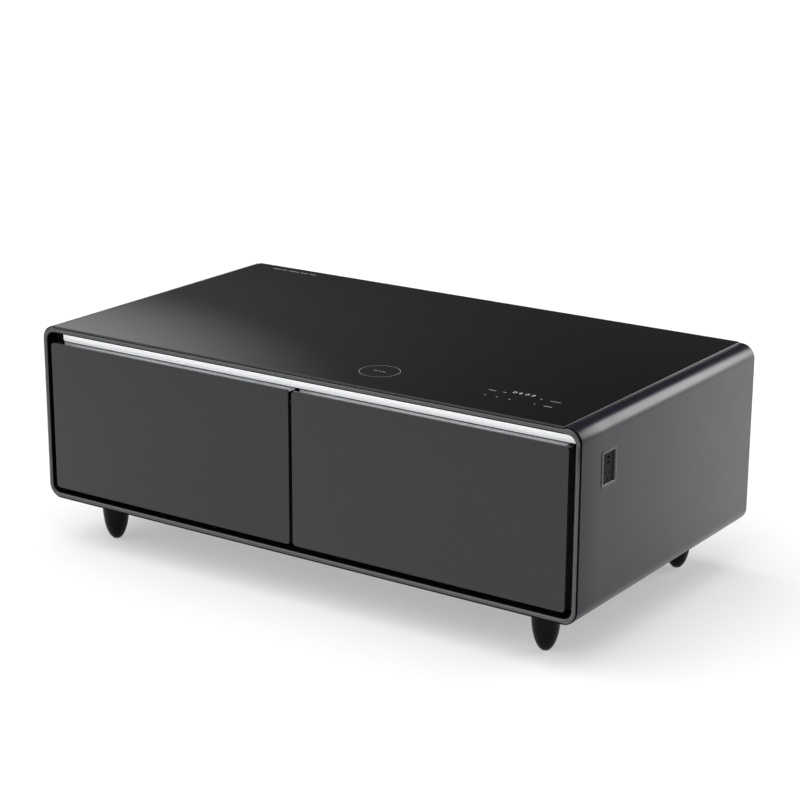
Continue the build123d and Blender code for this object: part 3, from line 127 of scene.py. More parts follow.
def softened(along: Span, edge: float, steps: int = 3) -> list[Flat]:
    """The outlines of a block whose two ends have rounded edges.

    Args:
        along: Where the block starts and ends.
        edge: Radius of the edges.
        steps: Chords of each edge.

    Returns:
        Place and inset of each outline.
    """
    curve = arc((edge, edge), edge, 180, 270, steps)
    start = [(along[0] + low, inset) for inset, low in reversed(curve)]
    return start + [(along[1] - low, inset) for inset, low in curve]


def metres(points: Iterable[Point]) -> list[Point]:
    """Points in metres from points in millimetres."""
    return [tuple(value * MM for value in point) for point in points]


def added(name: str, data: bpy.types.ID) -> Piece:
    """Adds an object to the scene.

    Args:
        name: Name of the object.
        data: Its mesh, lamp or camera.

    Returns:
        The object.
    """
    made = bpy.data.objects.new(name, data)
    bpy.context.scene.collection.objects.link(made)
    return made


def smooth(data: bpy.types.Mesh, sharp: float = SHARP) -> None:
    """Shades a mesh smooth but for its edges from this angle in degrees."""
    data.shade_smooth()
    data.set_sharp_from_angle(angle=math.radians(sharp))


@dataclass
class Build:
    """Vertices and faces gathered for one mesh, in millimetres."""

    points: list[Point] = field(default_factory=list)
    faces: list[list[int]] = field(default_factory=list)
    paints: list[int] = field(default_factory=list)

    def loop(self, points: Iterable[Point]) -> list[int]:
        """Adds points.

        Args:
            points: The points of one outline, in order.

        Returns:
            Their indices.
        """
        first = len(self.points)
        self.points.extend(points)
        return list(range(first, len(self.points)))

    def skin(
        self,
        loops: Sequence[Sequence[int]],
        paint: int = 0,
        wrap: bool = False,
        holes: Sequence[tuple[int, int]] = (),
    ) -> None:
        """Joins closed loops of equal length by quads.

        Args:
            loops: Loops of indices, in order.
            paint: Number of the finish.
            wrap: Whether the last loop joins the first.
            holes: Loop and step of each quad that is left out.
        """
        pairs = list(zip(loops, loops[1:])) + ([(loops[-1], loops[0])] if wrap else [])
        for row, (one, two) in enumerate(pairs):
            for step in range(len(one)):
                if (row, step) in holes:
                    continue
                following = (step + 1) % len(one)
                self.faces.append([one[step], one[following], two[following], two[step]])
                self.paints.append(paint)

    def stack(self, outlines: Iterable[Iterable[Point]], paint: int = 0, cap: int | None = None) -> None:
        """A closed body from stacked outlines, capped at both ends.

        Args:
            outlines: Outlines of equal length.
            paint: Finish of the sides.
            cap: Finish of the two caps, or None for that of the sides.
        """
        loops = [self.loop(points) for points in outlines]
        self.skin(loops, paint)
        self.faces += [loops[0], loops[-1]]
        self.paints += [paint if cap is None else cap] * 2

    def ring(self, outlines: Iterable[Iterable[Point]]) -> None:
        """A body that closes round on itself through its outlines."""
        self.skin([self.loop(points) for points in outlines], wrap=True)

    def slab(self, across: Span, deep: Span, up: Span, radius: float, edge: float, axis: str) -> None:
        """A block with round corners about one axis and softened edges.

        Args:
            across: X values.
            deep: Y values.
            up: Z values.
            radius: Corner radius about the axis.
            edge: Radius of the edges at both ends of the axis.
            axis: The axis that the corners turn about.
        """
        first, second, along = {"x": (deep, up, across), "y": (across, up, deep)}[axis]
        outlines = []
        for place, inset in softened(along, edge):
            line = rounded(first, second, max(radius - inset, edge / 2), 5, inset)
            outlines.append(laid(line, axis, place))
        self.stack(outlines)

    def turned(self, profile: Sequence[Flat], centre: Point, steps: int, axis: str = "z") -> None:
        """A turned body from a profile of radius and height.

        Args:
            profile: Radius and place along the axis of each ring.
            centre: Where the axis stands.
            steps: Chords of each ring.
            axis: The axis of turning.
        """
        outlines = []
        for radius, place in profile:
            ring = laid(circle((0, 0), radius, steps), axis, place)
            outlines.append([tuple(value + shift for value, shift in zip(point, centre)) for point in ring])
        self.stack(outlines)

    def darken(self, levels: Span, reach: float = math.inf) -> None:
        """Gives the second finish to all faces between two levels.

        Args:
            levels: Lowest and highest level.
            reach: Greatest distance of a face from the middle of the length.
        """
        for index, indices in enumerate(self.faces):
            corners = [self.points[point] for point in indices]
            if all(levels[0] < z < levels[1] and abs(x) < reach for x, _, z in corners):
                self.paints[index] = 1

    def mesh(self, name: str, finishes: Sequence["Finish"], sharp: float = SHARP) -> Piece:
        """Makes the object, with its faces outwards and smooth but for its sharp edges.

        Args:
            name: Name of the piece.
            finishes: The finishes that the faces' numbers mean.
            sharp: Least angle in degrees at which an edge stays sharp.

        Returns:
            The object, in metres and at the origin.
        """
        data = bpy.data.meshes.new(name)
        data.from_pydata(metres(self.points), [], self.faces)
        for finish in finishes:
            data.materials.append(finish.material())
        data.polygons.foreach_set("material_index", self.paints)
        work = bmesh.new()
        work.from_mesh(data)
        bmesh.ops.remove_doubles(work, verts=work.verts, dist=MERGED)
        bmesh.ops.recalc_face_normals(work, faces=work.faces)
        work.to_mesh(data)
        work.free()
        smooth(data, sharp)
        return added(name, data)


def settle(piece: Piece) -> Piece:
    """Turns a piece with modifiers into its plain evaluated mesh.

    Args:
        piece: The piece.

    Returns:
        The same piece, without modifiers.
    """
    graph = bpy.context.evaluated_depsgraph_get()
    data = bpy.data.meshes.new_from_object(piece.evaluated_get(graph))
    piece.modifiers.clear()
    piece.data = data
    smooth(data)
    return piece


def soften(piece: Piece, width: float, segments: int = 2, angle: float = 40.0) -> Piece:
    """Rounds a piece's sharp edges and keeps the result as its plain mesh.

    Args:
        piece: The piece.
        width: Width of the rounding in millimetres.
        segments: Steps of the rounding.
        angle: Least angle in degrees of an edge that is rounded.

    Returns:
        The same piece.
    """
    bevel = piece.modifiers.new("edge", "BEVEL")
    bevel.width, bevel.segments = width * MM, segments
    bevel.limit_method, bevel.angle_limit = "ANGLE", math.radians(angle)
    bevel.use_clamp_overlap = True
    return settle(piece)


def seat(piece: Piece, body: str, slot: str, *nodes: str) -> None:
    """Lets a piece ride on its body and stand for its nodes.

    Args:
        piece: The finished piece.
        body: The frame's body that it moves with.
        slot: Not used.
        nodes: Nodes that it replaces.
    """
    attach(piece, body)
    if nodes:
        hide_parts(*nodes)
    LOG.info("%s on %s, %d faces", piece.name, body, len(piece.data.polygons))


# Finishes


class Canvas:
    """A node tree with short ways to add and join nodes."""

    def __init__(self, tree: bpy.types.NodeTree) -> None:
        """Starts with an empty tree."""
        self.tree = tree
        tree.nodes.clear()

    def node(self, kind: str, inputs: dict[Any, Any] | None = None, **settings: Any) -> bpy.types.Node:
        """Adds a node.

        Args:
            kind: Blender's name of the node type.
            inputs: Values or sockets by input name or number.
            settings: Attributes of the node.

        Returns:
            The node.
        """
        made = self.tree.nodes.new(kind)
        for key, value in settings.items():
            setattr(made, key, value)
        for key, value in (inputs or {}).items():
            if isinstance(value, Socket):
                self.tree.links.new(value, made.inputs[key])
            else:
                made.inputs[key].default_value = value
        return made

    def ramp(self, source: Socket, stops: Sequence[tuple[float, Color]]) -> Socket:
        """A colour ramp.

        Args:
            source: The value that moves along it.
            stops: Place and colour of its two stops.

        Returns:
            The colour.
        """
        made = self.node("ShaderNodeValToRGB", {"Fac": source})
        for element, (place, color) in zip(made.color_ramp.elements, stops):
            element.position, element.color = place, (*color, 1.0)
        return made.outputs["Color"]

    def spread(self, source: Socket, low: float, high: float) -> Socket:
        """Maps a 0 to 1 pattern to the values between low and high."""
        limits = {"Value": source, "To Min": low, "To Max": high}
        return self.node("ShaderNodeMapRange", limits).outputs["Result"]

    def reckon(self, operation: str, *values: Any) -> Socket:
        """The result of a Math node on these values or sockets."""
        return self.node("ShaderNodeMath", dict(enumerate(values)), operation=operation).outputs[0]


def shade(color: Color, factor: float) -> Color:
    """A colour made lighter or darker by a factor."""
    return tuple(min(1.0, value * factor) for value in color)


@dataclass(frozen=True)
class Finish:
    """A surface: its colour, its gloss and the grain that breaks it up."""

    name: str
    color: Color
    roughness: float
    grain: Grain = Grain.MOULDED
    metallic: float = 0.0
    scale: float = 900.0
    depth: float = 0.02
    uneven: float = 0.12
    patches: float = 14.0
    spread: float = 0.15
    coat: float = 0.0
    stretch: Point = (1.0, 1.0, 1.0)
    shine: float = 0.5
    ior: float = 1.5

    def pattern(self, canvas: Canvas, place: Socket) -> Socket:
        """The fine relief of the surface.

        Args:
            canvas: The material's tree.
            place: Object coordinates.

        Returns:
            A height between 0 and 1.
        """
        laid_out = canvas.node("ShaderNodeMapping", {"Vector": place, "Scale": self.stretch})
        inputs = {"Vector": laid_out.outputs["Vector"], "Scale": self.scale}
        if self.grain is Grain.CELLS:
            return canvas.node("ShaderNodeTexVoronoi", inputs).outputs["Distance"]
        if self.grain is Grain.TRACES:
            inputs |= {"Mortar Size": 0.03, "Bias": -0.2}
            return canvas.node("ShaderNodeTexBrick", inputs).outputs["Fac"]
        detail = {Grain.PEEL: 1.5, Grain.BRUSHED: 6.0, Grain.MOULDED: 3.0, Grain.CAST: 8.0}[self.grain]
        inputs |= {"Detail": detail, "Roughness": 0.55}
        return canvas.node("ShaderNodeTexNoise", inputs).outputs["Fac"]

    def material(self) -> bpy.types.Material:
        """The finish as a material.

        Returns:
            The material, made at the first call.
        """
        title = f"{self.name}_finish"
        known = bpy.data.materials.get(title)
        if known:
            return known
        made = bpy.data.materials.new(title)
        made.use_nodes = True
        made.diffuse_color = (*self.color, 1.0)
        canvas = Canvas(made.node_tree)
        shader = self.surface(canvas, canvas.node("ShaderNodeTexCoord").outputs["Object"])
        canvas.node("ShaderNodeOutputMaterial", {"Surface": shader})
        return made

    def surface(self, canvas: Canvas, place: Socket) -> Socket:
        """The shader: base colour with soft patches, uneven gloss and relief.

        Args:
            canvas: The material's tree.
            place: Object coordinates.

        Returns:
            The shader's output.
        """
        height = self.pattern(canvas, place)
        wide = {"Vector": place, "Scale": self.patches, "Detail": 4.0, "Roughness": 0.6}
        patch = canvas.node("ShaderNodeTexNoise", wide).outputs["Fac"]
        stops = [(0.3, shade(self.color, 1 - self.uneven)), (0.7, shade(self.color, 1 + self.uneven))]
        source = height if self.grain in (Grain.TRACES, Grain.CELLS) else patch
        dull, bright = self.roughness * (1 - self.spread), self.roughness * (1 + self.spread)
        bump = {"Height": height, "Strength": 0.6, "Distance": self.depth * MM}
        values = {
            "Base Color": canvas.ramp(source, stops),
            "Roughness": canvas.spread(patch, dull, min(1.0, bright)),
            "Normal": canvas.node("ShaderNodeBump", bump).outputs["Normal"],
            "Metallic": self.metallic,
            "IOR": self.ior,
            "Specular IOR Level": self.shine,
            "Coat Weight": self.coat,
            "Coat Roughness": 0.06,
        }
        return canvas.node("ShaderNodeBsdfPrincipled", values).outputs["BSDF"]


@dataclass(frozen=True)
class Glow(Finish):
    """A milky cover lit from behind by a row of diodes."""

    levels: Span = (0.4435, 0.46)
    light: Span = (0.34, 0.84)

    def surface(self, canvas: Canvas, place: Socket) -> Socket:
        """The shader: brightest along its upper part, softer towards its lower edge.

        Args:
            canvas: The material's tree.
            place: Object coordinates.

        Returns:
            The shader's output.
        """
        level = canvas.node("ShaderNodeSeparateXYZ", {"Vector": place}).outputs["Z"]
        ranges = {"Value": level, "From Min": self.levels[0], "From Max": self.levels[1]}
        ranges |= {"To Min": self.light[0], "To Max": self.light[1]}
        height = self.pattern(canvas, place)
        bump = {"Height": height, "Strength": 0.3, "Distance": self.depth * MM}
        values = {
            "Base Color": canvas.ramp(height, [(0.3, shade(self.color, 0.96)), (0.7, self.color)]),
            "Roughness": canvas.spread(height, self.roughness * 0.9, self.roughness * 1.1),
            "Normal": canvas.node("ShaderNodeBump", bump).outputs["Normal"],
            "Emission Color": (0.97, 0.985, 1.0, 1.0),
            "Emission Strength": canvas.node("ShaderNodeMapRange", ranges).outputs["Result"],
        }
        return canvas.node("ShaderNodeBsdfPrincipled", values).outputs["BSDF"]


PAINT = {"grain": Grain.PEEL, "scale": 420}
BRUSHED = {"grain": Grain.BRUSHED, "depth": 0.006}
DRAWN = {"scale": 1400, "stretch": (0.02, 1, 1), **BRUSHED}
CASING = Finish("casing_paint", (0.0076, 0.0074, 0.0145), 0.3, depth=0.012, uneven=0.06, shine=0.4, **PAINT)
RIM = Finish("frame_paint", (0.08, 0.0807, 0.0825), 0.26, depth=0.004, uneven=0.04, **PAINT)
# Matte black that paints shade: on the casing's lowest band, the rim's shoulder, groove, throat and edges,
# and the finger pulls' end faces and end caps.
PAINTED_SHADE = Finish("recess_black", (0.004, 0.004, 0.0045), 0.6, scale=1900, depth=0.02, shine=0.1, ior=1.15)
FRONT = Finish("front_paint", (0.014, 0.0142, 0.015), 0.3, Grain.PEEL, scale=520, depth=0.01, uneven=0.05)
GLASS = Finish(
    "black_glass", (0.0035, 0.0035, 0.004), 0.035, Grain.PEEL, scale=30, depth=0.004, uneven=0.05, spread=0.5
)
GLASS_EDGE = Finish("polished_glass_edge", (0.012, 0.0125, 0.013), 0.14, Grain.CAST, scale=2500, depth=0.006)
PRINT = Finish("glass_print", (0.33, 0.33, 0.34), 0.4, Grain.CAST, scale=2600, depth=0.004)
DISPLAY = Finish("display_print", (0.75, 0.77, 0.8), 0.35, Grain.CAST, scale=2600, depth=0.004)
STEEL_SHEET = Finish("sheet_steel", (0.042, 0.042, 0.044), 0.5, Grain.CELLS, scale=1500, depth=0.03)
FASTENER = Finish("fastener_steel", (0.55, 0.55, 0.57), 0.32, Grain.CAST, 1.0, 2200, 0.01)
RAIL = Finish("rail_steel", (0.6, 0.61, 0.62), 0.3, metallic=1.0, stretch=(1, 0.02, 1), **BRUSHED)
ALUMINIUM = Finish("dark_aluminium", (0.16, 0.16, 0.165), 0.34, metallic=1.0, **DRAWN)
PULL = Finish("light_aluminium", (0.86, 0.87, 0.89), 0.42, metallic=0.3, uneven=0.05, **DRAWN)
FINS = Finish("finned_aluminium", (0.72, 0.73, 0.75), 0.38, metallic=1.0, stretch=(1, 1, 0.05), **BRUSHED)
COPPER = Finish("copper", (0.72, 0.36, 0.2), 0.33, Grain.CAST, 1.0, 500, 0.01, uneven=0.22, patches=45)
SEAL = Finish("seal_rubber", (0.055, 0.055, 0.058), 0.6, Grain.CAST, scale=1300, depth=0.015)
GLAND = Finish("gland_rubber", (0.015, 0.015, 0.015), 0.62, Grain.CAST, scale=1300, depth=0.015)
CABLE = Finish("cable_sheath", (0.018, 0.018, 0.018), 0.5, Grain.CAST, scale=1500, depth=0.01)
BEDDING = Finish("bedding_foam", (0.02, 0.02, 0.02), 0.9, Grain.CELLS, scale=1400, depth=0.06)
# Dark plastic, made nearly black with little sheen so that the throat trims behind the rim also carry painted
# shade.
DARK_PLASTIC = Finish("dark_plastic", (0.007, 0.007, 0.0078), 0.55, scale=1900, depth=0.02, shine=0.12)
FAN_PLASTIC = Finish("fan_plastic", (0.02, 0.02, 0.022), 0.4, scale=1700, depth=0.012)
TRAY = Finish("tray_plastic", (0.04, 0.04, 0.042), 0.5, scale=1500, depth=0.02)
DOOR = Finish("door_plastic", (0.022, 0.022, 0.024), 0.5, scale=1400, depth=0.02, shine=0.2)
LINER = Finish("liner_plastic", (0.78, 0.8, 0.82), 0.36, scale=1300, depth=0.015, uneven=0.02)
BIN = Finish("bin_plastic", (0.74, 0.77, 0.8), 0.18, Grain.PEEL, scale=260, depth=0.015, uneven=0.03)
BEZEL = Finish("bezel_plastic", (0.02, 0.0204, 0.0218), 0.26, scale=2000, depth=0.006, uneven=0.05)
SOCKET = Finish("socket_plastic", (0.0045, 0.0045, 0.005), 0.35, scale=2400, depth=0.012, shine=0.4, ior=1.16)
FOAM = Finish("foam", (0.75, 0.7, 0.5), 0.95, Grain.CELLS, scale=500, depth=0.25)
BOARD = Finish("circuit_board", (0.03, 0.16, 0.08), 0.35, Grain.TRACES, scale=160, depth=0.03, uneven=0.35)
LIGHT_BOARD = Finish("light_board", (0.8, 0.8, 0.78), 0.5, Grain.TRACES, scale=120, depth=0.02, uneven=0.06)
FOOT_GLOSS = Finish("foot_gloss", (0.003, 0.003, 0.0034), 0.3, Grain.PEEL, scale=300, depth=0.012, shine=0.1)
IRON = Finish("compressor_paint", (0.02, 0.02, 0.021), 0.32, Grain.CAST, scale=700, depth=0.03, coat=0.3)
COVER = Glow("milky_plastic", (0.86, 0.88, 0.9), 0.4, Grain.CAST, scale=900, depth=0.01)
SLOT_FINISHES = (
    CASING, RIM, FRONT, GLASS, STEEL_SHEET, FASTENER, RAIL, ALUMINIUM, FINS, COPPER, SEAL, GLAND, CABLE,
    BEDDING, DARK_PLASTIC, FAN_PLASTIC, TRAY, DOOR, LINER, BIN, BEZEL, SOCKET, FOAM, BOARD, LIGHT_BOARD,
    FOOT_GLOSS, IRON, COVER,
)


# Repeated pieces


class Pattern:
    """A Geometry Nodes tree with named inputs, run on one piece and kept as a plain mesh."""

    def __init__(self, name: str) -> None:
        """Starts a tree with a geometry input and output.

        Args:
            name: Name of the tree.
        """
        self.tree = bpy.data.node_groups.new(name, "GeometryNodeTree")
        self.canvas = Canvas(self.tree)
        self.values: dict[str, Any] = {}
        for way in ("INPUT", "OUTPUT"):
            self.tree.interface.new_socket("Geometry", in_out=way, socket_type="NodeSocketGeometry")
        self.start = self.canvas.node("NodeGroupInput")

    def size(self, name: str, value: Any, kind: str = "NodeSocketFloat") -> Socket:
        """Adds a named input.

        Args:
            name: Name of the input.
            value: What the modifier sets it to.
            kind: Blender's name of the socket type.

        Returns:
            Its socket in the tree.
        """
        made = self.tree.interface.new_socket(name, in_out="INPUT", socket_type=kind)
        self.values[made.identifier] = value
        return self.start.outputs[name]

    def run(self, name: str, spots: Sequence[Point], shape: Socket, finish: Finish) -> Piece:
        """Sets the shape on every spot, realizes the copies and gives them their finish.

        Args:
            name: Name of the piece.
            spots: Where the copies stand, in millimetres.
            shape: The shape's geometry.
            finish: Finish of the copies.

        Returns:
            The piece as a plain mesh.
        """
        spread = {"Points": self.start.outputs["Geometry"], "Instance": shape}
        copies = self.canvas.node("GeometryNodeInstanceOnPoints", spread).outputs["Instances"]
        solid = self.canvas.node("GeometryNodeRealizeInstances", {"Geometry": copies}).outputs["Geometry"]
        dress = {"Geometry": solid, "Material": finish.material()}
        dressed = self.canvas.node("GeometryNodeSetMaterial", dress).outputs["Geometry"]
        self.canvas.node("NodeGroupOutput", {"Geometry": dressed})
        data = bpy.data.meshes.new(name)
        data.from_pydata(metres(spots), [], [])
        piece = added(name, data)
        layer = piece.modifiers.new("pattern", "NODES")
        layer.node_group = self.tree
        for identifier, value in self.values.items():
            layer[identifier] = value
        return settle(piece)


def copies_of(template: Build, name: str, spots: Sequence[Point], finish: Finish) -> Piece:
    """Copies of one small shape, set on spots by Geometry Nodes.

    Args:
        template: The shape, round the origin.
        name: Name of the piece.
        spots: Where the copies stand, in millimetres.
        finish: Finish of the copies.

    Returns:
        The piece as a plain mesh.
    """
    model = template.mesh(f"{name}_shape", [finish])
    pattern = Pattern(f"{name}_pattern")
    source = pattern.size("Shape", model, "NodeSocketObject")
    shape = pattern.canvas.node("GeometryNodeObjectInfo", {"Object": source}).outputs["Geometry"]
    piece = pattern.run(name, spots, shape, finish)
    bpy.data.objects.remove(model)
    return piece


# Cabinet


@dataclass
class Cabinet:
    """Outer sizes of the cabinet that its pieces share, in millimetres."""

    half: float = 650.0
    front: float = -355.0
    rear: float = 355.0
    low: float = 98.0
    high: float = 478.0
    radius: float = 30.0
    seat_half: float = 616.5
    seat_level: float = 475.0
    corner_steps: int = 20
    held: float = 1.0

    def back(self, depth: float) -> float:
        """Y of a plane this deep behind the front."""
        return self.front + depth

    def backs(self, depths: Iterable[float]) -> tuple[float, ...]:
        """Y of the planes this deep behind the front."""
        return tuple(self.back(depth) for depth in depths)

    def outline(self, inset: float, seat_level: float, breaks: Sequence[float] = ()) -> list[Flat]:
        """The casing's section with the glass seat in its top, from the seat's left end clockwise.

        Args:
            inset: How far inside the surface it runs.
            seat_level: Height of the glass seat.
            breaks: Levels on the right side that get a point.

        Returns:
            X and Z of its points.
        """
        seat_x, seat_z, top = self.seat_half + inset, seat_level - inset, self.high - inset
        radius, side, mid = self.radius - inset, self.half - inset, self.half - self.radius
        high, low, flat = self.high - self.radius, self.low + self.radius, mid - self.held
        levels = [high - self.held, *breaks, low + self.held]
        points = [(-seat_x, seat_z), (seat_x, seat_z), (seat_x, top)]
        points += arc((mid, high), radius, 90, 0, self.corner_steps)
        points += [(side, level) for level in levels]
        points += arc((mid, low), radius, 0, -90, self.corner_steps)
        points += [(flat, self.low + inset), (-flat, self.low + inset)]
        points += arc((-mid, low), radius, -90, -180, self.corner_steps)
        points += [(-side, levels[-1]), (-side, levels[0])]
        points += arc((-mid, high), radius, 180, 90, self.corner_steps)
        return points + [(-seat_x, top)]


@dataclass
class Casing:
    """The sheet wrapped round top, sides and floor."""

    cabinet: Cabinet
    start: float = 6.0
    wall: float = 2.0
    hem: float = 0.6
    coated_level: float = 109.0
    socket_depths: Span = (80.8, 133.2)
    socket_levels: Span = (415.2, 346.8)
    flange_depths: Span = (704.0, 705.5)
    flange_width: float = 14.0
    flange_radius: float = 16.0

    def stations(self) -> list[Flat]:
        """The outlines that the casing is skinned over, round the sheet's own section.

        Returns:
            Depth and inset of each outline, in order.
        """
        reach = self.cabinet.rear - self.cabinet.front
        section = rounded((self.start, reach), (0, self.wall), self.hem, 3)
        found = []
        for (depth, inset), following in zip(section, section[1:] + section[:1]):
            found.append((depth, inset))
            if abs(following[0] - depth) > reach / 2:
                cuts = sorted(self.socket_depths, reverse=following[0] < depth)
                found += [(cut, inset) for cut in cuts]
        return found

    def build(self) -> None:
        """Makes the casing with its socket cut-out and its rear flange, its lowest band painted black as
        shade.
        """
        shape, cabinet, stations = Build(), self.cabinet, self.stations()
        loops = []
        for depth, inset in stations:
            line = cabinet.outline(inset, cabinet.seat_level, self.socket_levels)
            loops.append(shape.loop(laid(line, "y", cabinet.back(depth))))
        upper = next(i for i, (x, z) in enumerate(line) if x > 0 and z == self.socket_levels[0])
        cut = [i for i, (depth, _) in enumerate(stations) if depth in self.socket_depths]
        shape.skin(loops, wrap=True, holes=[(cut[0], upper), (cut[2], upper)])
        pairs = ((loops[cut[0]], loops[cut[1]]), (loops[cut[3]], loops[cut[2]]))
        shape.skin([[a[upper], a[upper + 1], b[upper + 1], b[upper]] for a, b in pairs])
        self.flange(shape)
        # Painted shade: faces below this level get the matte black, for the shade along the bottom.
        shape.darken((0.0, self.coated_level))
        seat(shape.mesh("casing", [CASING, PAINTED_SHADE], 30), "cabinet", "casing_paint", "outer_shell")

    def flange(self, shape: Build) -> None:
        """The flange that carries the rear panel.

        Args:
            shape: The mesh to add it to.
        """
        side = self.cabinet.half - self.wall
        spans = (-side, side), (self.cabinet.low + self.wall, self.cabinet.seat_level - self.wall)
        outer = rounded(*spans, self.cabinet.radius - self.wall)
        inner = rounded(*spans, self.flange_radius, inset=self.flange_width)
        near, far = self.cabinet.backs(self.flange_depths)
        section = ((outer, near), (inner, near), (inner, far), (outer, far))
        shape.ring(laid(line, "y", y) for line, y in section)


@dataclass
class FrontRim:
    """The rounded rim round both drawers, with a groove between it and the casing, and painted shade in black
    along its edges, groove, throat and underside.
    """

    cabinet: Cabinet
    inner_half: float = 638.0
    inner_low: float = 111.0
    inner_high: float = 464.2
    inner_radius: float = 18.0
    glass_bottom: float = 476.0
    lip: float = 3.7
    depth: float = 16.0
    crown: float = 3.7
    power: float = 1.65
    shadow_level: float = 102.5
    shaded_edge: float = 3.4
    margin: float = 1.0
    groove_share: float = 0.25
    lit_shares: Span = (0.14, 0.88)
    steps: int = 24

    def inner(self, outline: Sequence[Flat]) -> list[Flat]:
        """The inner edge's points that belong to those of the outer edge.

        Args:
            outline: The rim's outer edge.

        Returns:
            As many points on the inner edge.
        """
        mid_x = self.inner_half - self.inner_radius
        high, low = self.inner_high - self.inner_radius, self.inner_low + self.inner_radius
        body_x = self.cabinet.half - self.cabinet.radius
        body_high, body_low = self.cabinet.high - self.cabinet.radius, self.cabinet.low + self.cabinet.radius
        share = self.inner_radius / self.cabinet.radius
        found = []
        for x, z in outline:
            side = 1 if x > 0 else -1
            over, level = (z - body_high, high) if z > body_high else (z - body_low, low)
            if abs(x) >= body_x and (z >= body_high or z <= body_low):
                found.append((side * (mid_x + (abs(x) - body_x) * share), level + over * share))
            elif z > body_high or z < body_low:
                found.append((x, self.inner_high if z > body_high else self.inner_low))
            else:
                reach = (z - body_low) / (body_high - body_low)
                found.append((side * self.inner_half, low + reach * (high - low)))
        return found

    def build(self) -> None:
        """Makes the rim with a crowned face, its groove and the throat behind it; all but the lit middle of
        the face is painted black as shade.
        """
        outer = self.cabinet.outline(0, self.glass_bottom)
        inner = self.inner(outer)
        crowned = [index / self.steps for index in range(self.steps + 1)]
        profile = [(0.0, self.lip)]
        profile += [(share, self.crown * abs(2 * share - 1) ** self.power) for share in crowned]
        near, far = (sum(share < limit for share, _ in profile) for limit in self.lit_shares)
        profile += [(1.0, self.depth), (self.groove_share, self.depth), (self.groove_share, self.lip)]
        shape = Build()
        loops = []
        for share, depth in profile:
            pairs = zip(outer, inner)
            line = [(x + (to_x - x) * share, z + (to_z - z) * share) for (x, z), (to_x, to_z) in pairs]
            loops.append(shape.loop(laid(line, "y", self.cabinet.back(depth))))
        shape.skin(loops[near:far])
        # Painted shade: the outer shoulder, the inner edge, the groove and the throat take the matte black.
        shape.skin(loops[far - 1:] + loops[:near + 1], paint=1)
        # Painted shade: the lowest faces and the upper inner edge take the matte black too.
        shape.darken((0.0, self.shadow_level))
        upper_edge = (self.inner_high - self.margin, self.inner_high + self.shaded_edge)
        shape.darken(upper_edge, self.cabinet.seat_half + self.margin)
        seat(shape.mesh("front_rim", [RIM, PAINTED_SHADE], 38), "cabinet", "frame_paint", "front_frame")


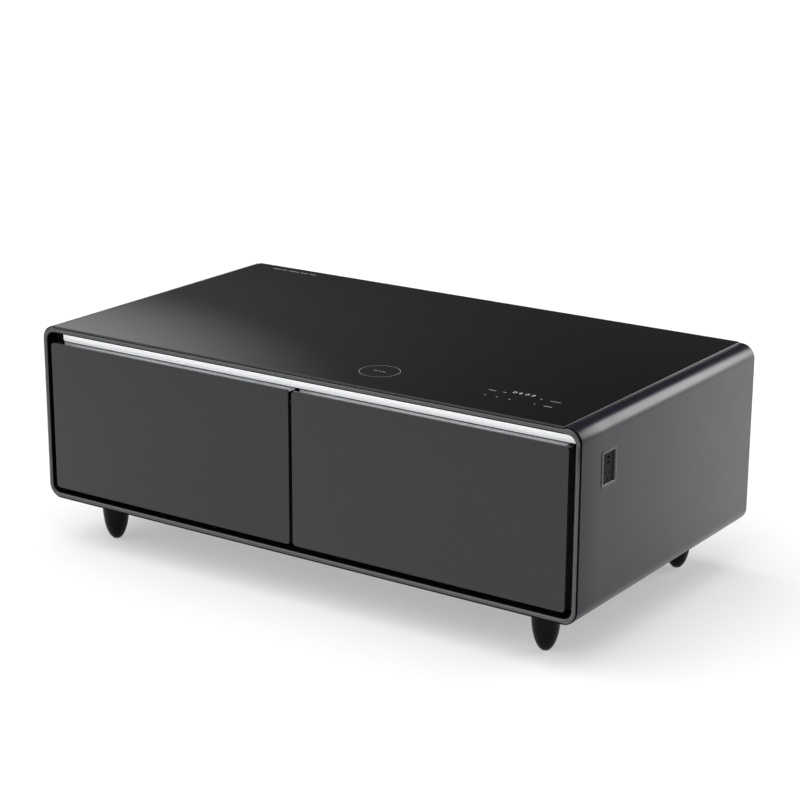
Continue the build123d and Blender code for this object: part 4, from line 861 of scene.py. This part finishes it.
@dataclass
class GlassTop:
    """The black glass plate with ground edges and the marks printed on it.

    Each of its mark rows holds a depth, half of its bars' width and the X values of the bars.
    """

    cabinet: Cabinet
    half: float = 616.0
    low: float = 476.0
    high: float = 479.97
    arris: float = 0.8
    corner: float = 2.5
    skin: float = 0.03
    ring: Flat = (139.0, 108.0)
    ring_radius: float = 41.0
    line: float = 0.9
    ring_bars: tuple[Span, ...] = ((-14.0, -4.0), (-2.5, 3.5), (5.0, 14.0))
    bar_half: float = 1.0
    mark_rows: tuple[tuple[float, float, tuple[Span, ...]], ...] = (
        (122.0, 1.3, ((380, 396),)),
        (123.0, 1.3, ((411, 418), (492, 497), (515, 537))),
        (89.0, 1.3, ((390, 394), (416, 420), (444, 448), (498, 502), (519, 537))),
        (683.0, 1.7, ((-559, -537), (-533, -519), (-514, -486), (-481, -460), (-455, -437))),
    )
    digits: str = "0503"
    digit_spot: Flat = (427.0, 130.0)
    digit_pitch: float = 12.5
    pair_gap: float = 2.0
    digit_size: Flat = (7.0, 9.4)
    digit_line: float = 1.3

    def build(self) -> None:
        """Makes the plate and its marks."""
        shape = Build()
        spans = (-self.half, self.half), (self.cabinet.front, self.cabinet.rear)
        outlines = []
        for level, inset in softened((self.low, self.high), self.arris, 4):
            outlines.append(laid(rounded(*spans, self.corner, 5, inset), "z", level))
        shape.stack(outlines, paint=1, cap=0)
        plate = shape.mesh("glass_plate", [GLASS, GLASS_EDGE], 30)
        seat(plate, "cabinet", "black_glass", "glass_top")
        self.charging_mark()
        self.touch_marks()
        self.display()

    def strip(self, shape: Build, across: Span, depths: Span) -> None:
        """One printed strip.

        Args:
            shape: The mesh to add it to.
            across: X values.
            depths: Depths behind the front.
        """
        deep = self.cabinet.backs(depths)
        line = rounded(across, deep, min(across[1] - across[0], deep[1] - deep[0]) * 0.3, 3)
        shape.stack([laid(line, "z", level) for level in (self.high, self.high + self.skin)])

    def row(self, shape: Build, depth: float, half: float, bars: Iterable[Span]) -> None:
        """Adds a row of strips at one depth, this far to both sides of it."""
        for across in bars:
            self.strip(shape, across, (depth - half, depth + half))

    def charging_mark(self) -> None:
        """The thin ring that shows where a phone charges, with three bars in its middle."""
        shape = Build()
        x, depth = self.ring
        near, far = self.ring_radius - self.line, self.ring_radius
        section = ((near, 0.0), (far, 0.0), (far, self.skin), (near, self.skin))
        centre = (x, self.cabinet.back(depth))
        shape.ring(laid(circle(centre, radius, 96), "z", self.high + up) for radius, up in section)
        bars = [(x + start, x + end) for start, end in self.ring_bars]
        self.row(shape, depth, self.bar_half, bars)
        seat(shape.mesh("charging_mark", [PRINT]), "cabinet", "black_glass")

    def touch_marks(self) -> None:
        """The two rows of touch marks and the bars near the rear edge."""
        shape = Build()
        for row in self.mark_rows:
            self.row(shape, *row)
        seat(shape.mesh("touch_marks", [PRINT]), "cabinet", "black_glass")

    def display(self) -> None:
        """The four digits between the rows of touch marks, in two pairs."""
        shape = Build()
        left, near = self.digit_spot
        for place, digit in enumerate(self.digits):
            shift = self.digit_pitch * place + (self.pair_gap if place > 1 else 0.0)
            self.digit(shape, int(digit), left + shift, near)
        seat(shape.mesh("touch_digits", [DISPLAY]), "cabinet", "black_glass")

    def digit(self, shape: Build, value: int, left: float, near: float) -> None:
        """One seven-bar digit.

        Args:
            shape: The mesh to add it to.
            value: The digit.
            left: X of its left edge.
            near: Depth of its lower edge behind the front.
        """
        (wide, high), thick = self.digit_size, self.digit_line
        far, middle = near + high, near + high / 2
        flat = {"d": near, "g": middle - thick / 2, "a": far - thick}
        for bar in SEVEN_BARS[value]:
            if bar in flat:
                self.strip(shape, (left + thick, left + wide - thick), (flat[bar], flat[bar] + thick))
            else:
                x = left + wide - thick if bar in "bc" else left
                depths = (middle, far - thick / 2) if bar in "bf" else (near + thick / 2, middle)
                self.strip(shape, (x, x + thick), depths)


@dataclass
class LightBand:
    """The lit strip above both drawers."""

    cabinet: Cabinet
    reach: float = 612.0
    depths: Span = (25.0, 51.3)
    low: float = 442.0
    high: float = 473.0
    wall: float = 1.5
    ceiling: float = 466.0
    cover: Span = (0.3, 2.5)
    lap: float = 1.2
    lap_end: float = 633.0
    lap_drop: float = 0.4
    lap_corner: float = 5.0
    board: float = 1.5
    board_half: float = 5.0
    diodes: int = 24
    diode: Block = ((-1.5, 1.5), (-1.2, 0.0), (-1.5, 1.5))

    def build(self) -> None:
        """Makes the channel, the milky cover and the diodes behind it."""
        near, far = self.cabinet.backs(self.depths)
        inner, bottom = self.low + self.wall, far - self.wall
        line = [(near, self.low), (far, self.low), (far, self.high), (near, self.high)]
        line += [(near, self.ceiling), (bottom, self.ceiling), (bottom, inner), (near, inner)]
        across = (-self.reach, self.reach)
        channel = Build()
        channel.stack([laid(line, "x", x) for x in across])
        profile = soften(channel.mesh("light_profile", [ALUMINIUM]), 0.25)
        seat(profile, "cabinet", "dark_aluminium", "light_channel")
        strip = Build()
        deep = tuple(near + depth for depth in self.cover)
        strip.slab(across, deep, (inner, self.ceiling), 0.5, 0.4, "x")
        lapped = (-self.reach, self.lap_end), (near - self.lap, near), (inner - self.lap_drop, self.ceiling)
        strip.slab(*lapped, self.lap_corner, 0.4, "y")
        seat(strip.mesh("light_cover", [COVER]), "cabinet", "milky_plastic", "light_diffuser")
        face, middle = bottom - self.board, (inner + self.ceiling) / 2
        up = (middle - self.board_half, middle + self.board_half)
        base = Build()
        base.slab(across, (face, face + self.board), up, 0.3, 0.2, "x")
        seat(base.mesh("light_board_strip", [LIGHT_BOARD]), "cabinet", "light_board", "led_strip")
        diode = Build()
        diode.slab(*self.diode, 0.5, 0.2, "y")
        shares = [(2 * step + 1) / self.diodes - 1 for step in range(self.diodes)]
        spots = [(self.reach * share, face, middle) for share in shares]
        seat(copies_of(diode, "light_diodes", spots, COVER), "cabinet", "milky_plastic")


@dataclass
class Drawer:
    """One drawer: its front, finger pull, gasket, box and divider.

    The pull's line holds depth and level of each point, the seal's line inset and depth, and each of the
    box's lines inset, level and corner radius.
    """

    cabinet: Cabinet
    side: Side
    ends: Span = (4.0, 626.0)
    levels: Span = (123.0, 443.0)
    front_radius: float = 8.0
    thickness: float = 5.0
    edge: float = 0.8
    pull_ends: Span = (6.0, 612.0)
    pull_line: tuple[Flat, ...] = (
        (5, 442), (5, 416), (26.5, 416), (26.5, 438.5), (45, 438.5), (45, 440), (25, 440), (25, 417.5),
        (6.5, 417.5), (6.5, 442),
    )
    cap: float = 1.5
    cap_depths: Span = (6.6, 24.9)
    cap_levels: Span = (417.6, 438.0)
    clear: float = 0.1
    seal_ends: Span = (8.0, 622.0)
    seal_levels: Span = (127.0, 438.0)
    seal_radius: float = 16.0
    seal_depth: float = 45.0
    seal_line: tuple[Flat, ...] = (
        (0, 0), (10, 0), (10, 1.1), (7.6, 1.7), (8.6, 2.7), (7.4, 3.6), (8.8, 4.2), (8.8, 6), (1.2, 6),
        (1.2, 4.2), (2.6, 3.6), (1.4, 2.7), (2.4, 1.7), (0, 1.1),
    )
    box_ends: Span = (39.7, 595.3)
    box_depths: Span = (46.8, 451.5)
    box_wall: float = 3.0
    box_lines: tuple[Point, ...] = (
        (6, 145, 8), (1.5, 146.4, 12), (0, 150, 14), (0, 402, 14), (0, 406.5, 14), (-4.2, 407.2, 18),
        (-5, 408.4, 19), (-4.2, 409.7, 18), (0, 410, 14), (2.4, 409.6, 11.6), (3, 408.6, 11), (3, 153, 11),
        (3.9, 149.6, 10), (7.5, 148, 8),
    )
    floor_level: float = 148.0
    rib_count: int = 11
    rib: Block = ((-1.2, 1.2), (-190.0, 190.0), (-1.0, 0.6))
    divider_depths: Span = (50.1, 448.2)
    divider_top: float = 370.0
    plate_half: float = 1.5
    plate_stop: float = 3.0
    bead_half: float = 3.5
    bead_height: float = 7.0

    @property
    def body(self) -> str:
        """The frame's body of this drawer."""
        return f"{self.side.word}_drawer"

    def span(self, ends: Span) -> Span:
        """X values of a piece between two distances from the middle."""
        return tuple(sorted(self.side.value * end for end in ends))

    def put(self, piece: Piece, slot: str, *parts: str) -> None:
        """Seats a piece on the drawer for its own parts of the frame."""
        seat(piece, self.body, slot, *(f"{self.side.word}_{part}" for part in parts))

    def build(self) -> None:
        """Makes all pieces of the drawer."""
        panel = Build()
        outlines = []
        curve = arc((self.edge, self.edge), self.edge, 270, 180, 5)
        for inset, depth in curve + [(0.0, self.thickness)]:
            line = rounded(self.span(self.ends), self.levels, self.front_radius - inset, 10, inset)
            outlines.append(laid(line, "y", self.cabinet.back(depth)))
        panel.stack(outlines)
        self.put(panel.mesh(f"{self.side.word}_front", [FRONT], 30), "front_paint", "front_panel")
        self.pull()
        self.gasket()
        self.box()
        self.divider()

    def pull(self) -> None:
        """The finger-pull profile, a deep U with a flange over the door, and the caps in its ends; caps and
        end faces are painted shade in matte black.
        """
        line = [(self.cabinet.back(depth), level) for depth, level in self.pull_line]
        shape = Build()
        # Painted shade: the profile's end faces take the matte black.
        shape.stack([laid(line, "x", x) for x in self.span(self.pull_ends)], cap=1)
        profile = soften(shape.mesh(f"{self.side.word}_finger_pull", [PULL, PAINTED_SHADE]), 0.45, 3)
        self.put(profile, "dark_aluminium", "handle")
        caps = Build()
        near, far = self.pull_ends[0] + self.clear, self.pull_ends[1] - self.clear
        deep = self.cabinet.backs(self.cap_depths)
        for ends in ((near, near + self.cap), (far - self.cap, far)):
            caps.slab(self.span(ends), deep, self.cap_levels, 0.5, 0.3, "x")
        # Painted shade: the end caps are all matte black.
        self.put(caps.mesh(f"{self.side.word}_pull_caps", [PAINTED_SHADE]), "dark_aluminium")

    def gasket(self) -> None:
        """The folded magnetic seal round the rear of the door."""
        shape = Build()
        outlines = []
        for inset, depth in self.seal_line:
            line = rounded(self.span(self.seal_ends), self.seal_levels, self.seal_radius - inset, inset=inset)
            outlines.append(laid(line, "y", self.cabinet.back(self.seal_depth + depth)))
        shape.ring(outlines)
        self.put(shape.mesh(f"{self.side.word}_door_seal", [SEAL], 50), "seal_rubber", "gasket")

    def box(self) -> None:
        """The storage box with a rolled lip, and the ribs on its floor."""
        back, word = self.cabinet.back, self.side.word
        near, far = self.span(self.box_ends)
        shell = Build()
        outlines = []
        for inset, level, radius in self.box_lines:
            depths = (back(self.box_depths[0] + max(inset, 0)), back(self.box_depths[1] - inset))
            outlines.append(laid(rounded((near + inset, far - inset), depths, radius), "z", level))
        shell.stack(outlines)
        self.put(shell.mesh(f"{word}_storage_box", [BIN], 32), "bin_plastic", "bin")
        rib = Build()
        rib.slab(*self.rib, 0.5, 0.4, "y")
        near, far = near + self.box_wall, far - self.box_wall
        pitch = (far - near) / (self.rib_count + 1)
        middle = (back(self.box_depths[0] + self.box_wall) + back(self.box_depths[1] - self.box_wall)) / 2
        places = [near + pitch * (step + 1) for step in range(self.rib_count)]
        spots = [(x, middle, self.floor_level) for x in places if abs(x - (near + far) / 2) > pitch / 2]
        self.put(copies_of(rib, f"{word}_box_ribs", spots, BIN), "bin_plastic")

    def divider(self) -> None:
        """The plate across the middle of the box, with a thicker rounded top."""
        shape = Build()
        centre, top = sum(self.span(self.box_ends)) / 2, self.divider_top
        deep = self.cabinet.backs(self.divider_depths)
        up = (self.floor_level + self.clear, top - self.plate_stop)
        shape.slab((centre - self.plate_half, centre + self.plate_half), deep, up, 1.2, 0.6, "y")
        up = (top - self.bead_height, top)
        shape.slab((centre - self.bead_half, centre + self.bead_half), deep, up, 3.4, 1.0, "y")
        self.put(shape.mesh(f"{self.side.word}_divider_plate", [BIN], 40), "bin_plastic", "bin_divider")


@dataclass
class Feet:
    """Four turned feet that taper to a round tip."""

    cabinet: Cabinet
    radius: float = 29.0
    tip: float = 7.0
    crown: float = 96.0
    power: float = 2.7
    steps: int = 30
    spots: tuple[Flat, ...] = ((-538, -268.5), (538, -268.5), (-538, 268.5), (538, 268.5))

    def width(self, level: float) -> float:
        """Radius of a foot.

        Args:
            level: Height above the floor.

        Returns:
            The radius there.
        """
        tip_share = 1 - (self.tip / self.radius) ** 2
        fall = tip_share ** (1 / self.power) * (self.crown - level) / self.crown
        return self.radius * math.sqrt(max(0.0, 1 - fall**self.power))

    def build(self) -> None:
        """Makes the feet in one piece, with a soft edge at tip and crown."""
        shape = Build()
        levels = [self.crown * (step / self.steps) ** 1.5 for step in range(5, self.steps)]
        profile = [(self.width(0) - 2.2, 0.0), (self.width(0) - 0.6, 0.35), (self.width(1.2), 1.2)]
        profile += [(self.width(level), level) for level in levels]
        profile += [(self.radius, self.crown - 0.8), (self.radius - 0.4, self.crown)]
        for x, y in self.spots:
            shape.turned(profile, (x, y, 0.0), 64)
        seat(shape.mesh("bullet_feet", [FOOT_GLOSS], 40), "cabinet", "foot_gloss", "feet")


@dataclass
class SocketPlate:
    """The frame round the socket in the right side."""

    cabinet: Cabinet
    deep: Span = (-276.0, -220.0)
    up: Span = (345.0, 417.0)
    rim: float = 7.0
    proud: float = 1.2
    rear: float = 644.0
    corner: float = 5.0
    least_corner: float = 1.2

    def build(self) -> None:
        """Makes the frame with a soft outer edge and a sloped inner edge."""
        side = self.cabinet.half
        face = side + self.proud
        profile = [(2.0, self.rear), (2.0, side), (0.0, side + 0.02), (0.0, face - 0.7), (0.25, face - 0.2)]
        profile += [(0.8, face), (5.2, face), (6.1, face - 0.4), (6.7, side), (self.rim, self.rear)]
        shape = Build()
        outlines = []
        for inset, x in profile:
            radius = max(self.least_corner, self.corner - inset * 0.55)
            outlines.append(laid(rounded(self.deep, self.up, radius, 6, inset), "x", x))
        shape.ring(outlines)
        seat(shape.mesh("socket_frame", [BEZEL]), "cabinet", "bezel_plastic", "socket_bezel")


@dataclass
class RearSide:
    """What shows at the rear: vent collars, screws and the cord's gland."""

    cabinet: Cabinet
    face: float = 707.0
    vent_size: Flat = (4.9, 61.4)
    vent_corner: float = 2.3
    vent_bead: float = 0.55
    vent_start: float = 70.0
    vent_count: int = 16
    vent_pitch: float = 12.0
    vent_levels: Point = (228.0, 310.0, 392.0)
    vent_proud: float = 0.1
    screw_line: tuple[Flat, ...] = ((3.8, 0), (3.75, 0.5), (3.4, 1.1), (2.6, 1.55), (1.5, 1.75), (0.4, 1.8))
    recess: Flat = (2.1, 0.55)
    recess_depths: Span = (1.2, 1.86)
    screw_half: float = 641.0
    screw_levels: Span = (107.0, 466.0)
    screw_count: int = 5
    gland_centre: Flat = (530.0, 143.0)
    gland_line: tuple[Flat, ...] = (
        (8.8, 692.5), (8.8, 701.5), (13.0, 701.6), (13.0, 705.4), (8.8, 705.5), (8.8, 706.2), (8.3, 707.0),
        (8.6, 707.8), (8.1, 708.6), (8.4, 709.3), (7.8, 710.0), (4.9, 710.0), (4.2, 709.0), (4.2, 692.5),
    )

    def build(self) -> None:
        """Makes the collars, screws and gland."""
        self.collars()
        self.screws()
        self.gland()

    def collars(self) -> None:
        """Pressed rims round the vent slots, made from a rounded outline by Geometry Nodes."""
        pattern = Pattern("vent_collars")
        width = pattern.size("Slot width", self.vent_size[0] * MM)
        length = pattern.size("Slot length", self.vent_size[1] * MM)
        corner = pattern.size("Corner radius", self.vent_corner * MM)
        thick = pattern.size("Rim radius", self.vent_bead * MM)
        canvas = pattern.canvas
        outline = canvas.node("GeometryNodeCurvePrimitiveQuadrilateral", {"Width": width, "Height": length})
        rounding = {"Curve": outline.outputs["Curve"], "Radius": corner, "Count": 4}
        soft = canvas.node("GeometryNodeFilletCurve", rounding, mode="POLY")
        bead = canvas.node("GeometryNodeCurvePrimitiveCircle", {"Resolution": 6, "Radius": thick})
        sweep = {"Curve": soft.outputs["Curve"], "Profile Curve": bead.outputs["Curve"]}
        rim = canvas.node("GeometryNodeCurveToMesh", sweep).outputs["Mesh"]
        up = canvas.node("GeometryNodeTransform", {"Geometry": rim, "Rotation": (math.radians(90), 0, 0)})
        spots = []
        for side in (-1, 1):
            for column in range(self.vent_count):
                x = side * (self.cabinet.half - self.vent_start - self.vent_pitch * column)
                face = self.cabinet.back(self.face) + self.vent_proud
                spots += [(x, face, level) for level in self.vent_levels]
        piece = pattern.run("vent_collars", spots, up.outputs["Geometry"], STEEL_SHEET)
        seat(piece, "cabinet", "sheet_steel")

    def screws(self) -> None:
        """Pan-head screws with a cross recess."""
        head = Build()
        head.turned(self.screw_line, (0.0, 0.0, 0.0), 20, "y")
        reach = self.screw_half - self.cabinet.radius
        along = [reach * (2 * step / (self.screw_count - 1) - 1) for step in range(self.screw_count)]
        face = self.cabinet.back(self.face)
        spots = [(x, face, z) for x in along for z in self.screw_levels]
        spots += [(side * self.screw_half, face, sum(self.screw_levels) / 2) for side in (-1, 1)]
        heads = copies_of(head, "panel_screws", spots, FASTENER)
        seat(heads, "cabinet", "fastener_steel", "rear_panel_screws")
        cross = Build()
        for wide, high in (self.recess, self.recess[::-1]):
            cross.slab((-wide, wide), self.recess_depths, (-high, high), 0.3, 0.1, "y")
        seat(copies_of(cross, "screw_recesses", spots, GLAND), "cabinet", "fastener_steel")

    def gland(self) -> None:
        """The ribbed rubber bush where the mains cord comes out."""
        shape = Build()
        back = self.cabinet.back
        shape.ring(laid(circle(self.gland_centre, radius, 48), "y", back(d)) for radius, d in self.gland_line)
        seat(shape.mesh("cord_bush", [GLAND], 45), "cabinet", "gland_rubber", "cord_gland")


# Carried-over nodes, light and camera


class CarriedNodes:
    """The frame's own pieces that stay in view and get a finish."""

    def build(self) -> None:
        """Gives every node the finish of its material slot."""
        finishes = {finish.name: finish for finish in SLOT_FINISHES}
        slots = {part["node"]: part["material_slot"] for part in frame["record"]["subparts"]}
        for name, node in frame["nodes"].items():
            material = finishes[slots[name]].material()
            if not node.material_slots:
                node.data.materials.append(material)
            for place in node.material_slots:
                place.material = material
        LOG.info("%d frame nodes dressed", len(slots))


@dataclass(frozen=True)
class SkyGlow:
    """A soft light patch in the studio's sky."""

    azimuth: float
    elevation: float
    inner: float
    outer: float
    strength: float

    def socket(self, canvas: Canvas, direction: Socket) -> Socket:
        """Its light along a direction.

        Args:
            canvas: The world's tree.
            direction: The direction looked along.

        Returns:
            The strength there.
        """
        turn, rise = math.radians(self.azimuth), math.radians(self.elevation)
        aim = (math.cos(turn) * math.cos(rise), math.sin(turn) * math.cos(rise), math.sin(rise))
        near = canvas.node("ShaderNodeVectorMath", {0: direction, 1: aim}, operation="DOT_PRODUCT")
        values = {
            "Value": canvas.reckon("ARCCOSINE", near.outputs["Value"]),
            "From Min": math.radians(self.outer),
            "From Max": math.radians(self.inner),
            "To Min": 0.0,
            "To Max": self.strength,
        }
        return canvas.node("ShaderNodeMapRange", values, interpolation_type="SMOOTHSTEP").outputs["Result"]


@dataclass
class Studio:
    """Pale floor, soft light and the camera at the photograph's place."""

    floor_reach: float = 60.0
    floor_tone: float = 0.8
    floor_white: float = 0.42
    sky: float = 0.05
    sun_power: float = 3.4
    sun_angle: float = 90.0
    sun_from: Point = (-0.3, -0.35, 1.0)
    target: Point = (-0.067, 0.0, 0.254)
    azimuth: float = 35.03
    elevation: float = 17.48
    distance: float = 4.674
    sensor: float = 36.0
    lens: float = 99.54
    shift: Flat = (0.0426, 0.0406)
    clip: Span = (0.1, 200.0)
    glows: tuple[SkyGlow, ...] = (
        SkyGlow(142.0, 22.0, 5.2, 16.8, 0.92),
        SkyGlow(142.0, 22.0, 12.0, 27.0, 0.08),
        SkyGlow(64.0, 18.0, 14.0, 22.0, 5.9),
    )

    def build(self) -> None:
        """Makes floor, sky, sun and camera."""
        self.floor()
        self.world()
        self.sun()
        self.camera()

    def white_mask(self, canvas: Canvas) -> Socket:
        """Tells the rays that see the floor white.

        Args:
            canvas: The floor material's tree.

        Returns:
            One for a ray from the camera, a reflection or a see-through piece.
        """
        path = canvas.node("ShaderNodeLightPath").outputs
        seen = canvas.reckon("MAXIMUM", path["Is Camera Ray"], path["Is Glossy Ray"])
        return canvas.reckon("MAXIMUM", seen, path["Is Transmission Ray"])

    def floor(self) -> None:
        """A wide pale floor that keeps the table's shadow."""
        data = bpy.data.meshes.new("floor")
        reach = self.floor_reach
        corners = [(-reach, -reach, 0), (reach, -reach, 0), (reach, reach, 0), (-reach, reach, 0)]
        data.from_pydata(corners, [], [(0, 1, 2, 3)])
        material = bpy.data.materials.new("studio_floor")
        material.use_nodes = True
        canvas = Canvas(material.node_tree)
        mask = self.white_mask(canvas)
        tone = canvas.ramp(mask, [(0.0, (self.floor_tone,) * 3), (1.0, WHITE[:3])])
        shaded = canvas.node("ShaderNodeBsdfDiffuse", {"Color": tone}).outputs["BSDF"]
        white = canvas.node("ShaderNodeEmission", {"Strength": 1.0}).outputs["Emission"]
        share = canvas.spread(mask, 0.0, self.floor_white)
        mixed = canvas.node("ShaderNodeMixShader", {0: share, 1: shaded, 2: white})
        canvas.node("ShaderNodeOutputMaterial", {"Surface": mixed.outputs[0]})
        data.materials.append(material)
        added("floor", data)

    def world(self) -> None:
        """A dim even sky with soft light patches, white where the camera sees it."""
        world = bpy.data.worlds.new("studio_sky")
        bpy.context.scene.world = world
        world.use_nodes = True
        canvas = Canvas(world.node_tree)
        direction = canvas.node("ShaderNodeTexCoord").outputs["Generated"]
        total: Any = self.sky
        for glow in self.glows:
            total = canvas.reckon("ADD", total, glow.socket(canvas, direction))
        sky = canvas.node("ShaderNodeBackground", {"Color": WHITE, "Strength": total})
        white = canvas.node("ShaderNodeBackground", {"Color": WHITE, "Strength": 1.0})
        seen = canvas.node("ShaderNodeLightPath").outputs["Is Camera Ray"]
        mixed = canvas.node("ShaderNodeMixShader", {0: seen, 1: sky.outputs[0], 2: white.outputs[0]})
        canvas.node("ShaderNodeOutputWorld", {"Surface": mixed.outputs[0]})

    def sun(self) -> None:
        """A wide soft light from the front left, high up."""
        lamp = bpy.data.lights.new("soft_sun", "SUN")
        lamp.energy, lamp.angle = self.sun_power, math.radians(self.sun_angle)
        added("soft_sun", lamp).rotation_euler = Vector(self.sun_from).to_track_quat("Z", "Y").to_euler()

    def camera(self) -> None:
        """The camera with the photograph's view, lens and shift."""
        turn, rise = math.radians(self.azimuth), math.radians(self.elevation)
        back = Vector((math.sin(turn) * math.cos(rise), -math.cos(turn) * math.cos(rise), math.sin(rise)))
        lens = bpy.data.cameras.new("photo_camera")
        lens.sensor_width, lens.lens = self.sensor, self.lens
        lens.shift_x, lens.shift_y = self.shift
        lens.clip_start, lens.clip_end = self.clip
        camera = added("photo_camera", lens)
        camera.location = Vector(self.target) + back * self.distance
        camera.rotation_euler = back.to_track_quat("Z", "Y").to_euler()
        bpy.context.scene.camera = camera
        bpy.context.scene.view_settings.view_transform = "Standard"


def main() -> None:
    """Builds every sub-assembly in order."""
    logging.basicConfig(level=logging.INFO, format="%(name)s %(message)s")
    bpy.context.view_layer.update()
    cabinet = Cabinet()
    CarriedNodes().build()
    parts = [Casing(cabinet), FrontRim(cabinet), GlassTop(cabinet), LightBand(cabinet)]
    parts += [Drawer(cabinet, side) for side in Side]
    parts += [Feet(cabinet), SocketPlate(cabinet), RearSide(cabinet), Studio()]
    for part in parts:
        part.build()


if __name__ == "__main__":
    main()
